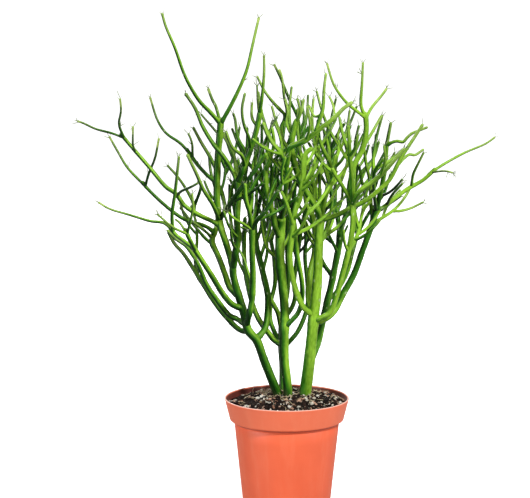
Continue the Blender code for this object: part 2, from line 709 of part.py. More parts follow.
def bend_points(places, tolerance):
    """Returns the indices of the samples that a straight-sided tube needs to follow a route."""
    chord = places[-1] - places[0]
    chord = chord / np.linalg.norm(chord)
    offsets = places - places[0]
    distances = np.linalg.norm(offsets - np.outer(offsets @ chord, chord), axis=1)
    farthest = int(np.argmax(distances))
    if distances[farthest] < tolerance:
        return [0, len(places) - 1]
    before = bend_points(places[: farthest + 1], tolerance)
    after = bend_points(places[farthest:], tolerance)
    return [*before, *[farthest + index for index in after[1:]]]


def rings(limb):
    """Returns the places and radii of the rings that a limb's tube is built on."""
    places = place(limb.flat, limb.away)
    kept = bend_points(places, ROUTE_TOLERANCE)
    radii = limb.radius[kept] * MM
    places = [Vector(places[index]) for index in kept]
    if limb.parent is None:
        downward = (places[0] - places[1]).normalized()
        places.insert(0, places[0] + downward * STEM_DEPTH)
        return places, np.insert(radii, 0, radii[0])
    radii[0] *= FOOT_SWELLING
    radii[-1] *= TIP_SHARE
    return places, radii


def tube(name, places, radii, resolution, turn):
    """Returns a tube through places as a mesh object: a bevelled curve with its caps welded."""
    flat_sided = 1.0 / math.cos(math.pi / (4 + 2 * resolution)) ** FACET_SHARE
    curve = bpy.data.curves.new(name, "CURVE")
    curve.dimensions = "3D"
    curve.bevel_depth = 1.0
    curve.bevel_resolution = resolution
    curve.use_fill_caps = True
    spline = curve.splines.new("POLY")
    spline.points.add(len(places) - 1)
    for point, at, radius in zip(spline.points, places, radii):
        point.co = (*at, 1.0)
        point.radius = radius * flat_sided
        point.tilt = turn
    guide = bpy.data.objects.new(name, curve)
    bpy.context.scene.collection.objects.link(guide)
    evaluated = guide.evaluated_get(bpy.context.evaluated_depsgraph_get())
    mesh = bpy.data.meshes.new_from_object(evaluated)
    piece = bpy.data.objects.new(name, mesh)
    piece.matrix_world = guide.matrix_world
    weld(mesh)
    bpy.data.objects.remove(guide)
    bpy.data.curves.remove(curve)
    return piece


def weld(mesh):
    """Welds the doubled points of a mesh, such as those of a tube's caps."""
    shape = bmesh.new()
    shape.from_mesh(mesh)
    bmesh.ops.remove_doubles(shape, verts=shape.verts, dist=WELD_DISTANCE)
    bmesh.ops.recalc_face_normals(shape, faces=shape.faces)
    shape.to_mesh(mesh)
    shape.free()


def new_collection(name):
    """Returns a new collection in the scene."""
    collection = bpy.data.collections.new(name)
    bpy.context.scene.collection.children.link(collection)
    return collection


def join(name, pieces):
    """Returns one object that is the union of overlapping pieces, which are then removed."""
    body, *others = pieces
    spare = new_collection(name + "_pieces")
    bpy.context.scene.collection.objects.link(body)
    for other in others:
        spare.objects.link(other)
    union = body.modifiers.new("Union", "BOOLEAN")
    union.operation = "UNION"
    union.operand_type = "COLLECTION"
    union.collection = spare
    union.solver = "MANIFOLD"
    evaluated = body.evaluated_get(bpy.context.evaluated_depsgraph_get())
    mesh = bpy.data.meshes.new_from_object(evaluated)
    for piece in pieces:
        bpy.data.objects.remove(piece)
    bpy.data.collections.remove(spare)
    keep_outer_skin(mesh)
    return bpy.data.objects.new(name, mesh)


def keep_outer_skin(mesh):
    """Fills the small hollows that fusing seals, by keeping only the skin with the most faces."""
    shape = bmesh.new()
    shape.from_mesh(mesh)
    unvisited = set(shape.faces)
    skins = []
    while unvisited:
        waiting = [unvisited.pop()]
        skin = []
        while waiting:
            face = waiting.pop()
            skin.append(face)
            beside = {other for edge in face.edges for other in edge.link_faces} & unvisited
            unvisited -= beside
            waiting.extend(beside)
        skins.append(skin)
    skins.sort(key=len)
    for skin in skins[:-1]:
        bmesh.ops.delete(shape, geom=skin, context="FACES")
    shape.to_mesh(mesh)
    shape.free()


def leaflet(limb, chance):
    """Returns the tiny slim leaf at a free tip, rooted in it and leaning out to a side."""
    places = place(limb.flat, limb.away)
    tip = Vector(places[-1])
    heading = (tip - Vector(places[-2])).normalized()
    spin = Matrix.Rotation(chance.uniform(0.0, math.tau), 3, heading)
    outward = (heading + LEAFLET_LEAN * (spin @ heading.orthogonal().normalized())).normalized()
    foot = tip - heading * limb.radius[-1] * MM
    reach = chance.uniform(*LEAFLET_LENGTH) * MM
    radii = [LEAFLET_FOOT_RADIUS * MM, LEAFLET_TIP_RADIUS * MM]
    return tube("leaflet", [foot, foot + outward * reach], radii, 0, chance.uniform(0.0, math.tau))


def stem(name, limbs, colour):
    """Builds one stem with all that grows on it, as one body."""
    chance = random.Random(name)
    own = [limb for limb in limbs if limb.stem == name]
    parents = {id(limb.parent) for limb in own}
    pieces = []
    for number, limb in enumerate(own):
        resolution = 1 if limb.drawn.foot > THIN_GIRTH else 0
        pieces.append(tube(f"{name}_{number}", *rings(limb), resolution, number * GOLDEN_ANGLE))
    for limb in own:
        if id(limb) not in parents and chance.random() < LEAFY_SHARE:
            pieces.append(leaflet(limb, chance))
    body = join(name, pieces)
    dress(body, colour, STEM_ROUGHNESS)
    return body


def stem_axis(limb):
    """Returns the place where a stem leaves the soil, its direction there and its radius."""
    places, radii = rings(limb)
    return places[1], (places[2] - places[1]).normalized(), max(radii[:3])


def pot_wall(inset):
    """Returns the turned outline of the pot's side, base to lip, moved in by an inset."""
    band_foot = POT_HEIGHT - BAND_HEIGHT
    return [
        (BODY_TOP_RADIUS - inset, band_foot - STEP_HEIGHT),
        (BAND_FOOT_RADIUS - inset, band_foot),
        (RIM_RADIUS - inset, POT_HEIGHT - LIP_ROUND),
    ]


def turned(name, profile, sides):
    """Returns an object turned from a profile that runs down its outer side."""
    mesh = bpy.data.meshes.new(name)
    outline = bmesh.new()
    corners = [outline.verts.new((radius, 0.0, height)) for radius, height in profile]
    for start, end in zip(corners, corners[1:]):
        outline.edges.new((start, end))
    outline.to_mesh(mesh)
    outline.free()
    body = bpy.data.objects.new(name, mesh)
    screw = body.modifiers.new("Turn", "SCREW")
    screw.axis = "Z"
    screw.steps = sides
    screw.render_steps = sides
    screw.use_merge_vertices = True
    screw.merge_threshold = WELD_DISTANCE
    return body


def pot():
    """Builds the pot: a tapered body, a step and a tall rim band, with drain holes in its floor."""
    body = turned(
        "pot",
        [
            (0.0, FLOOR),
            (BASE_RADIUS - WALL, FLOOR),
            *pot_wall(WALL),
            (RIM_RADIUS - WALL + LIP_ROUND, POT_HEIGHT),
            (RIM_RADIUS - LIP_ROUND, POT_HEIGHT),
            *reversed(pot_wall(0.0)),
            (BASE_RADIUS, BASE_EDGE),
            (BASE_RADIUS - BASE_EDGE, 0.0),
            (0.0, 0.0),
        ],
        POT_SIDES,
    )
    drains = new_collection("drain_cutters")
    for number in range(DRAIN_COUNT):
        turn = math.tau * (number + 0.5) / DRAIN_COUNT
        bpy.ops.mesh.primitive_cylinder_add(
            vertices=DRAIN_SIDES,
            radius=DRAIN_RADIUS,
            depth=DRAIN_CUT_HEIGHT,
            location=(DRAIN_CIRCLE_RADIUS * math.cos(turn), DRAIN_CIRCLE_RADIUS * math.sin(turn), 0.0),
        )
        make_cutter(bpy.context.object, f"drain_{number}", drains)
    cut(body, drains)
    dress(body, POT_COLOUR, POT_ROUGHNESS)
    return body


def make_cutter(cutter, name, collection):
    """Names a cutter, hides it from the model and moves it to its collection."""
    cutter.name = name
    cutter.hide_render = True
    cutter.display_type = "WIRE"
    for owner in list(cutter.users_collection):
        owner.objects.unlink(cutter)
    collection.objects.link(cutter)


def cut(body, cutters):
    """Cuts every object of a collection out of a body."""
    boolean = body.modifiers.new("Cut", "BOOLEAN")
    boolean.operation = "DIFFERENCE"
    boolean.operand_type = "COLLECTION"
    boolean.collection = cutters


def soil_height(x, y):
    """Returns the height of the soil's rough, mounded surface over a place."""
    from_mound = math.hypot(x - MOUND_CENTRE[0], y - MOUND_CENTRE[1]) / MOUND_RADIUS
    mound = MOUND_HEIGHT * max(0.0, 1.0 - from_mound**2)
    clods = sum(math.sin((fx * x + fy * y) / MM + phase) for fx, fy, phase in CLOD_WAVES)
    return SOIL_EDGE_HEIGHT + mound + CLOD_HEIGHT * clods / len(CLOD_WAVES)


def soil(stems):
    """Builds the soil, which fills the pot, with a plain hole for each stem."""
    inset = WALL + SOIL_GAP
    top_radius = RIM_RADIUS - inset - (POT_HEIGHT - SOIL_EDGE_HEIGHT) * BAND_SLOPE
    top = [(top_radius * k / SOIL_RINGS, SOIL_EDGE_HEIGHT) for k in range(SOIL_RINGS + 1)]
    band_foot, step_foot = pot_wall(inset)[1], pot_wall(inset)[0]
    bottom = FLOOR + TOUCHING_GAP
    profile = [*top, band_foot, step_foot, (BASE_RADIUS - inset, bottom), (0.0, bottom)]
    shape = turned("soil", profile, POT_SIDES)
    bpy.context.scene.collection.objects.link(shape)
    mesh = bpy.data.meshes.new_from_object(shape.evaluated_get(bpy.context.evaluated_depsgraph_get()))
    bpy.data.objects.remove(shape)
    weld(mesh)
    for vertex in mesh.vertices:
        if vertex.co.z > SOIL_EDGE_HEIGHT - TOUCHING_GAP:
            from_wall = 1.0 - math.hypot(vertex.co.x, vertex.co.y) / top_radius
            rise = soil_height(vertex.co.x, vertex.co.y) - SOIL_EDGE_HEIGHT
            vertex.co.z += rise * min(1.0, from_wall / WALL_BLEND)
    body = bpy.data.objects.new("soil", mesh)
    holes = new_collection("hole_cutters")
    for limb in stems:
        foot, upward, radius = stem_axis(limb)
        bpy.ops.mesh.primitive_cylinder_add(
            vertices=HOLE_SIDES,
            radius=(radius + HOLE_CLEARANCE) / math.cos(math.pi / HOLE_SIDES),
            depth=HOLE_DEPTH + HOLE_ABOVE,
            location=foot + upward * 0.5 * (HOLE_ABOVE - HOLE_DEPTH),
            rotation=upward.to_track_quat("Z", "Y").to_euler(),
        )
        make_cutter(bpy.context.object, f"{limb.stem}_hole", holes)
    cut(body, holes)
    dress(body, SOIL_COLOUR, SOIL_ROUGHNESS)
    return body


def dress(body, colour, roughness):
    """Gives a body its own material and smooth shading with sharp edges kept."""
    material = bpy.data.materials.new(body.name)
    material.use_nodes = True
    principled = material.node_tree.nodes["Principled BSDF"]
    principled.inputs["Base Color"].default_value = (*colour, 1.0)
    principled.inputs["Roughness"].default_value = roughness
    principled.inputs["Metallic"].default_value = 0.0
    body.data.materials.clear()
    body.data.materials.append(material)
    body.data.shade_smooth()
    body.data.set_sharp_from_angle(angle=SHARP_ANGLE)


def main():
    """Builds the pot, its soil and every stem in a collection of their own."""
    for old in list(bpy.data.objects):
        bpy.data.objects.remove(old)
    limbs = grow_all()
    model = new_collection("potted_pencil_cactus")
    stems = [limb for limb in limbs if limb.parent is None]
    for limb in stems:
        model.objects.link(stem(limb.stem, limbs, STEM_COLOURS[limb.stem]))
    model.objects.link(soil(stems))
    model.objects.link(pot())


main()
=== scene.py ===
"""Looks of the potted pencil cactus: fine round branches, leaflets, loose soil, pot and studio.

Everything is in metres in the model's own frame: origin at the centre of the pot's flat base, +Z up,
front facing -Y. The branches are drawn as they look from the front, in millimetres across from the
pot's axis and up from the soil, and each has a depth: how far its tip lies behind the pot's axis.
"""

import json
import logging
import math
import random
from dataclasses import dataclass, field
from enum import Enum
from typing import Callable, Iterable, Sequence

import bmesh
import bpy
import numpy as np
from mathutils import Matrix, Vector, noise

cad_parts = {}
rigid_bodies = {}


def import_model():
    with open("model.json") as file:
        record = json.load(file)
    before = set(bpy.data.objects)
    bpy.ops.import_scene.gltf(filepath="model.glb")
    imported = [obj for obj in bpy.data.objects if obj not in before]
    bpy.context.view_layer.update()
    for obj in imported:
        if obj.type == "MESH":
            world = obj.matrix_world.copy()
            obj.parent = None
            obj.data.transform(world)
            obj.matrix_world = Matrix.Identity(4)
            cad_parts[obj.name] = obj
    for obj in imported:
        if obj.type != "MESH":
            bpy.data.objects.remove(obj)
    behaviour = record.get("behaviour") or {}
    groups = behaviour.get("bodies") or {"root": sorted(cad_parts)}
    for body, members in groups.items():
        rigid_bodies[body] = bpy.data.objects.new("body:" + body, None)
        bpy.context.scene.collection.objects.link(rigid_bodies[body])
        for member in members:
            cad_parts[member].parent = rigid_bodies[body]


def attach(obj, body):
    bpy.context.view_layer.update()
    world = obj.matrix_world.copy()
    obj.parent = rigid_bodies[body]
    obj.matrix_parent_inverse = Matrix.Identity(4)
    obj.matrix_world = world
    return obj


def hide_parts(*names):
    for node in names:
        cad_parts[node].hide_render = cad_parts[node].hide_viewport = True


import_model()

LOG = logging.getLogger("pencil_cactus")
MM = 0.001
SKIN_RADIUS = 3 * MM

Colour = tuple[float, float, float]
Place = tuple[float, float, float]
Point = tuple[float, float]


@dataclass(frozen=True)
class Branch:
    """One branch as drawn, in millimetres: its girths, the depth of its tip, its route, its shoots."""

    foot: float
    tip: float
    away: float
    route: Sequence[Point]
    shoots: tuple["Branch", ...] = ()

    def radius_at(self, share: np.ndarray) -> np.ndarray:
        """Returns the radius at each share of the branch's length."""
        return 0.5 * (self.foot + (self.tip - self.foot) * share)


def branch(foot: float, tip: float, away: float, route: Sequence[Point], *shoots: Branch) -> Branch:
    """Returns a branch with the shoots that grow from it."""
    return Branch(foot, tip, away, route, shoots)


LEFT_STEM = branch(
    9.4, 7, -8,
    [(-9, 1), (-15, 15), (-23, 35), (-30, 54), (-39, 65), (-44, 85), (-50, 105), (-54, 122), (-53, 133)],
    # the arm that leaves to the right of the first fork and climbs behind its neighbour
    branch(
        7, 5.5, 32,
        [(-29, 54), (-23, 65), (-20, 76), (-19, 95), (-21, 110), (-25, 126), (-31, 152), (-33, 177)],
        branch(4.5, 3.5, 36, [(-33, 173), (-40, 190), (-46, 210), (-49, 236)]),
        branch(4.5, 3.5, 14, [(-33, 174), (-28, 190), (-24, 208), (-22, 230), (-25, 247)]),
        branch(4, 3, 84, [(-28, 138), (-20, 158), (-16, 176), (-15, 198), (-18, 222)]),
    ),
    # low limbs to the far left
    branch(
        6, 4, 66,
        [(-38, 62), (-47, 65), (-58, 75), (-72, 92), (-86, 114), (-96, 130), (-104, 142), (-113, 152),
         (-119, 164)],
        branch(4, 3, 96, [(-90, 121), (-92, 136), (-90, 152), (-91, 172), (-96, 190)]),
    ),
    branch(
        6, 3.5, 0,
        [(-42, 71), (-50, 76), (-59, 81), (-72, 98), (-81, 112), (-90, 133), (-101, 149), (-110, 155),
         (-120, 165)],
    ),
    # the upright limb in front of the first fork
    branch(
        6.5, 6, -34,
        [(-40, 69), (-37, 84), (-35, 96), (-34, 118), (-35, 145), (-35, 171)],
        branch(3, 2.4, -2, [(-36, 108), (-41, 130), (-46, 142), (-52, 150), (-58, 156)]),
        branch(
            4.5, 3, -66,
            [(-35, 169), (-29, 176), (-23, 182), (-14, 196), (-7, 208), (1, 221), (5, 228)],
        ),
        branch(3.2, 2.4, -52, [(-35, 165), (-45, 172), (-52, 176), (-59, 183)]),
        branch(3, 2.4, -8, [(-35, 161), (-39, 164), (-46, 168)]),
        branch(4.5, 3.4, -50, [(-35, 170), (-38, 184), (-41, 197), (-42, 212)]),
    ),
    # the next limb up to the left, with the long level shoot
    branch(
        6.5, 5.5, -42,
        [(-45, 87), (-54, 90), (-64, 101), (-75, 119), (-84, 133), (-95, 150)],
        branch(
            4.5, 4, -24,
            [(-93, 147), (-103, 154), (-111, 160), (-117, 168)],
            branch(
                4, 2.6, 4,
                [(-115, 166), (-123, 172), (-137, 174), (-157, 180), (-177, 186), (-189, 193)],
            ),
            branch(4.5, 3, -40, [(-116, 166), (-115, 180), (-112, 202), (-110, 220), (-108, 239)]),
        ),
        branch(
            5, 4.5, -56,
            [(-94, 149), (-99, 159), (-102, 167)],
            branch(3.2, 2.4, -74, [(-102, 163), (-111, 166), (-117, 170), (-130, 181)]),
            branch(3.2, 2.4, -46, [(-102, 166), (-107, 172), (-112, 176)]),
            branch(3.2, 2.4, -76, [(-101, 164), (-97, 172), (-94, 188), (-95, 202)]),
        ),
    ),
    # the darker limb behind it
    branch(
        6.5, 6, 30,
        [(-49, 101), (-57, 107), (-61, 118), (-68, 137), (-75, 153), (-73, 160), (-71, 168)],
        branch(4, 3, 58, [(-74, 150), (-82, 157), (-94, 171), (-101, 180), (-107, 188)]),
        branch(3.6, 3, 14, [(-73, 156), (-82, 164), (-94, 173)]),
        branch(
            4.6, 3.8, 34,
            [(-72, 165), (-82, 169), (-101, 175), (-115, 184), (-129, 196), (-141, 208), (-145, 214)],
            branch(
                3.6, 2.8, 58,
                [(-143, 211), (-149, 216), (-160, 228), (-169, 243), (-178, 259)],
            ),
            branch(3.4, 2.6, 12, [(-144, 213), (-138, 222), (-132, 237), (-128, 257)]),
        ),
        branch(4.5, 3, 84, [(-72, 166), (-69, 182), (-70, 200), (-76, 222), (-78, 240)]),
    ),
    # the left arm of the upper fork, which carries the two tallest shoots
    branch(
        7, 7, -4,
        [(-54, 129), (-58, 142), (-62, 155), (-66, 167), (-69, 181)],
        branch(
            7, 7, -6,
            [(-69, 178), (-70, 195), (-70, 215), (-69, 240), (-67, 262), (-66, 277)],
            branch(
                5, 3.2, -26,
                [(-67, 273), (-76, 282), (-89, 296), (-102, 319), (-112, 347), (-121, 368), (-125, 382)],
            ),
            branch(4, 3.4, 14, [(-67, 274), (-71, 288), (-75, 296), (-79, 307)]),
            branch(
                5, 3.2, -40,
                [(-66, 274), (-57, 288), (-48, 306), (-40, 326), (-34, 352), (-28, 378)],
            ),
            branch(3, 2.4, 26, [(-67, 260), (-74, 267), (-81, 275), (-86, 281)]),
            branch(4.5, 3.4, 44, [(-70, 222), (-77, 238), (-86, 253), (-94, 268)]),
        ),
        branch(4.8, 3.4, -48, [(-69, 179), (-74, 190), (-84, 206), (-90, 220), (-100, 241)]),
        branch(
            5.2, 3.6, -56,
            [(-68, 176), (-59, 188), (-48, 204), (-40, 214), (-29, 229), (-20, 242)],
            branch(
                4.6, 4, 40,
                [(-60, 187), (-67, 207), (-80, 220), (-90, 231), (-101, 247)],
                branch(
                    3.8, 2.8, 66,
                    [(-98, 243), (-107, 252), (-121, 262), (-130, 276), (-137, 298)],
                ),
                branch(3, 2.4, 30, [(-94, 238), (-95, 252), (-99, 262)]),
            ),
        ),
        branch(
            5.2, 4.4, 8,
            [(-68, 170), (-75, 174), (-88, 180), (-102, 189), (-111, 201), (-122, 209), (-137, 227),
             (-157, 250), (-167, 262)],
            branch(3.4, 2.6, 22, [(-166, 260), (-176, 262), (-191, 266), (-204, 272), (-210, 274)]),
            branch(3.6, 2.6, -14, [(-166, 261), (-168, 271), (-166, 284), (-167, 297)]),
            branch(3, 2.4, -10, [(-150, 242), (-154, 250), (-154, 269)]),
            branch(3.4, 2.6, -24, [(-109, 198), (-104, 205), (-98, 207), (-89, 212)]),
            branch(
                4.4, 3.8, 34,
                [(-92, 181), (-93, 188), (-90, 196)],
                branch(3.6, 2.8, 52, [(-91, 193), (-101, 206), (-110, 219), (-120, 230)]),
                branch(3.8, 3, 14, [(-90, 194), (-87, 204), (-86, 213)]),
            ),
        ),
    ),
    # the right arm of the upper fork
    branch(
        7, 6.5, -26,
        [(-53, 129), (-51, 145), (-49, 157), (-50, 173), (-49, 197), (-49, 218)],
        branch(
            5.2, 4, -14,
            [(-49, 214), (-54, 223), (-64, 239), (-73, 250), (-84, 268), (-92, 287), (-102, 302)],
        ),
        branch(4.8, 3.8, 24, [(-50, 213), (-51, 228), (-55, 244), (-66, 264)]),
        branch(
            6, 5.5, -36,
            [(-49, 215), (-44, 226), (-40, 236), (-36, 248), (-31, 263), (-26, 287)],
            branch(4, 3, -54, [(-27, 283), (-25, 297), (-23, 320), (-23, 340)]),
            branch(3.6, 3, -16, [(-29, 268), (-35, 277), (-35, 293)]),
            branch(3, 2.2, -34, [(-27, 280), (-29, 290), (-30, 310)]),
            branch(3.4, 3, -60, [(-36, 246), (-38, 257), (-43, 270), (-45, 286), (-42, 302)]),
            branch(4, 3, -8, [(-39, 237), (-42, 244), (-49, 257), (-52, 276), (-54, 282)]),
            branch(4, 3, -64, [(-42, 231), (-45, 239), (-54, 247), (-58, 255), (-61, 264)]),
        ),
    ),
)

CENTRE_STEM = branch(
    9, 9.4, -6,
    [(1, 2), (0, 15), (-2, 30), (-3, 51), (-2, 75), (-3, 95), (-5, 115), (-7, 135), (-7, 155), (-6, 181)],
    branch(
        6, 4.5, 58,
        [(-3, 50), (-12, 54), (-20, 64), (-26, 72), (-32, 84), (-38, 104), (-42, 128), (-43, 152),
         (-42, 178)],
        branch(3.6, 2.8, 82, [(-41, 118), (-48, 134), (-51, 152), (-56, 168)]),
        branch(3.6, 2.8, 64, [(-43, 158), (-37, 176), (-35, 196), (-38, 214)]),
    ),
    branch(
        5.5, 4.5, 44,
        [(-3, 53), (-6, 68), (-9, 82), (-15, 93), (-20, 104), (-24, 118), (-25, 134)],
        branch(3.6, 2.8, 58, [(-24, 124), (-20, 142), (-21, 160), (-25, 178)]),
    ),
    branch(5.2, 4.5, -30, [(-2, 68), (7, 77), (12, 84), (15, 96), (15, 112), (12, 130), (9, 150), (8, 170)]),
    branch(3.8, 3, 12, [(-6, 128), (-11, 137), (-17, 143), (-22, 152), (-26, 174)]),
    branch(
        6, 5, -34,
        [(-7, 160), (-12, 168), (-14, 180), (-19, 200), (-21, 213), (-21, 230)],
        branch(3.6, 3, -10, [(-20, 206), (-27, 216), (-31, 228), (-32, 244)]),
        branch(4, 3, -52, [(-21, 224), (-16, 238), (-13, 252), (-15, 268)]),
    ),
    branch(
        5.4, 4, -64,
        [(-6, 178), (-3, 192), (-1, 208), (0, 227), (-5, 240), (-15, 253), (-21, 264), (-24, 273)],
        # the long bright shoot that sweeps right across the crown
        branch(
            6, 4.2, -86,
            [(-1, 231), (3, 247), (10, 251), (19, 255), (33, 266), (47, 277), (57, 287), (66, 293)],
            branch(
                4.4, 3, -84,
                [(29, 262), (32, 274), (36, 287), (37, 305), (39, 322)],
                branch(3, 2.4, -70, [(33, 278), (27, 279), (22, 290)]),
            ),
            branch(3.2, 2.6, -96, [(20, 256), (23, 270), (20, 289)]),
            branch(3, 2.4, -62, [(50, 279), (46, 290), (42, 299)]),
        ),
        branch(4, 3, -44, [(-1, 216), (-7, 226), (-12, 232), (-17, 239), (-21, 249)]),
    ),
    branch(
        4.4, 3.4, 10,
        [(-6, 172), (-2, 186), (3, 200), (3, 216), (-2, 232), (-4, 250), (-6, 267), (-2, 279), (-11, 289)],
        branch(3.8, 2.8, 18, [(-5, 284), (-15, 294), (-23, 305), (-30, 319)]),
        branch(3.6, 2.8, -6, [(-4, 273), (0, 283), (-3, 299), (-5, 317), (-8, 326)]),
    ),
)

CENTRE_BACK_STEM = branch(
    6, 5, 44,
    [(-5, 2), (-5, 15), (-5, 30), (-6, 48), (-6, 66), (-4, 84), (0, 102), (1, 125), (0, 155), (0, 180)],
    branch(
        5.2, 4, 86,
        [(-6, 52), (-12, 62), (-17, 76), (-16, 94), (-12, 112), (-13, 136), (-17, 160), (-20, 184)],
        branch(3.4, 2.6, 108, [(-13, 128), (-6, 144), (-3, 162), (-5, 184)]),
    ),
    branch(
        5, 4, 70,
        [(-5, 74), (4, 86), (8, 98), (7, 110), (9, 130), (12, 150), (15, 170), (20, 190)],
        branch(3.4, 2.6, 84, [(9, 134), (5, 152), (3, 170), (6, 190)]),
    ),
    branch(
        5, 4, 66,
        [(-6, 44), (3, 54), (11, 64), (18, 80), (21, 96), (20, 115), (18, 137), (19, 155), (20, 172)],
        branch(4, 3.2, 56, [(19, 160), (12, 176), (2, 192), (-6, 205), (-10, 220)]),
    ),
    branch(
        4.4, 3.6, 90,
        [(1, 164), (-4, 182), (-9, 200), (-12, 222), (-10, 244)],
        branch(3.4, 2.6, 110, [(-11, 208), (-19, 222), (-25, 244)]),
        branch(3.4, 2.6, 74, [(-12, 226), (-4, 240), (3, 258)]),
    ),
    branch(
        4.4, 3.6, 40,
        [(0, 172), (6, 188), (8, 208), (12, 228), (13, 250), (12, 268)],
        branch(3.8, 3, 24, [(13, 258), (11, 276), (3, 294), (-6, 316), (-13, 331)]),
        branch(3.2, 2.6, 52, [(12, 262), (17, 276), (14, 295)]),
    ),
)

RIGHT_STEM = branch(
    12.6, 8, -16,
    [(18, 3), (20, 15), (23, 40), (25, 60), (27, 82), (29, 95), (31, 125), (32, 155), (34, 181)],
    # the bright limb that curves up to the left
    branch(
        6, 5, -52,
        [(26, 80), (17, 87), (10, 102), (5, 120), (3, 139), (5, 161), (8, 183), (14, 199)],
        branch(3.8, 3, -66, [(6, 170), (2, 184), (-2, 196), (-6, 204)]),
        branch(
            5.6, 4.6, -66,
            [(12, 195), (16, 213), (17, 233), (19, 242), (26, 247)],
            branch(3.2, 2.6, -50, [(17, 229), (24, 238), (29, 250), (31, 262)]),
        ),
    ),
    branch(
        7, 5.5, 30,
        [(26, 79), (22, 95), (22, 110), (24, 127), (28, 145), (28, 165), (24, 184)],
        branch(4.4, 3.4, 58, [(24, 180), (25, 198), (30, 214), (36, 232)]),
        branch(4.4, 3.4, 34, [(25, 178), (19, 192), (18, 208), (22, 226)]),
    ),
    # the two nested limbs on the right
    branch(
        6, 5.6, -44,
        [(28, 76), (38, 79), (44, 84), (50, 101), (56, 123), (61, 142), (65, 163), (66, 180), (65, 197)],
        branch(3.8, 3, -6, [(61, 140), (67, 153), (72, 165), (76, 184), (84, 194)]),
        branch(
            5.6, 5.4, -48,
            [(65, 193), (64, 208), (66, 227), (75, 245), (79, 262), (79, 275), (78, 283)],
            branch(4, 3, -32, [(78, 279), (85, 288), (95, 300), (100, 307)]),
            branch(4.2, 2.8, -58, [(78, 280), (74, 290), (75, 311), (76, 333)]),
            branch(3.8, 2.6, -74, [(78, 277), (71, 283), (59, 293), (48, 308), (43, 321), (40, 332)]),
            branch(4, 3, -26, [(76, 248), (83, 259), (91, 273), (95, 280)]),
        ),
        branch(4.8, 3.6, -84, [(66, 191), (65, 212), (63, 238), (62, 256), (61, 270)]),
        branch(4.5, 3.4, -66, [(65, 193), (60, 201), (53, 213), (49, 219), (45, 227)]),
        branch(
            5.6, 3.4, -90,
            [(65, 190), (73, 204), (87, 214), (97, 223), (107, 234), (118, 247)],
            branch(3.2, 2.6, -104, [(96, 222), (98, 236), (97, 250)]),
        ),
    ),
    branch(
        7, 6.5, 22,
        [(27, 73), (36, 75), (47, 84), (56, 101), (67, 121), (75, 143), (83, 165), (91, 190)],
        branch(
            5.8, 3.6, 10,
            [(91, 186), (94, 205), (98, 227), (100, 251), (104, 273)],
            branch(4, 3, 2, [(100, 250), (108, 254), (116, 253), (124, 261), (141, 268)]),
            branch(3, 2.4, 26, [(98, 228), (104, 236), (108, 243)]),
        ),
        branch(
            5, 4.2, 32,
            [(90, 183), (97, 188), (108, 197), (122, 207), (136, 215), (149, 227)],
            branch(3.6, 2.6, 44, [(147, 225), (157, 231), (177, 242), (198, 251), (208, 258)]),
            branch(2.6, 2.2, 20, [(150, 227), (158, 224), (166, 222)]),
            branch(3.4, 2.6, 16, [(123, 208), (126, 220), (131, 231), (137, 243)]),
            branch(3.2, 2.6, -2, [(98, 189), (105, 200), (116, 212)]),
        ),
        branch(3.6, 2.8, 62, [(87, 174), (95, 177), (109, 187), (120, 201), (125, 212)]),
        branch(4, 3, 54, [(85, 170), (84, 190), (83, 212), (79, 232), (77, 248)]),
        branch(4, 3, -26, [(91, 187), (87, 205), (88, 224), (98, 237)]),
    ),
    # the crown of the right stem
    branch(
        6.5, 6, -50,
        [(34, 178), (29, 188), (17, 207), (10, 223), (6, 237), (4, 250), (7, 266), (11, 277)],
        branch(3.6, 2.8, -58, [(10, 273), (13, 284), (10, 297)]),
        branch(3.2, 2.6, -36, [(9, 271), (14, 282), (17, 296)]),
        branch(3.4, 2.8, -34, [(5, 257), (0, 270), (1, 284), (-2, 296)]),
    ),
    branch(
        5.4, 3.6, -44,
        [(34, 177), (48, 179), (62, 186), (78, 194), (92, 205), (103, 216), (114, 237), (125, 254),
         (136, 271)],
        branch(3.4, 2.8, -30, [(112, 232), (121, 240), (128, 240), (137, 246)]),
    ),
    branch(
        5.6, 4.4, -34,
        [(34, 178), (38, 198), (44, 211), (47, 223), (49, 240)],
        branch(4.4, 3.4, -56, [(46, 218), (43, 231), (36, 246), (32, 257)]),
        branch(3.8, 3, -8, [(42, 208), (37, 229), (32, 238), (26, 253)]),
        branch(3.4, 2.8, -12, [(48, 232), (52, 246), (51, 260), (55, 272)]),
    ),
    branch(4.2, 3.4, 14, [(35, 176), (33, 192), (27, 200), (21, 214), (20, 234)]),
)

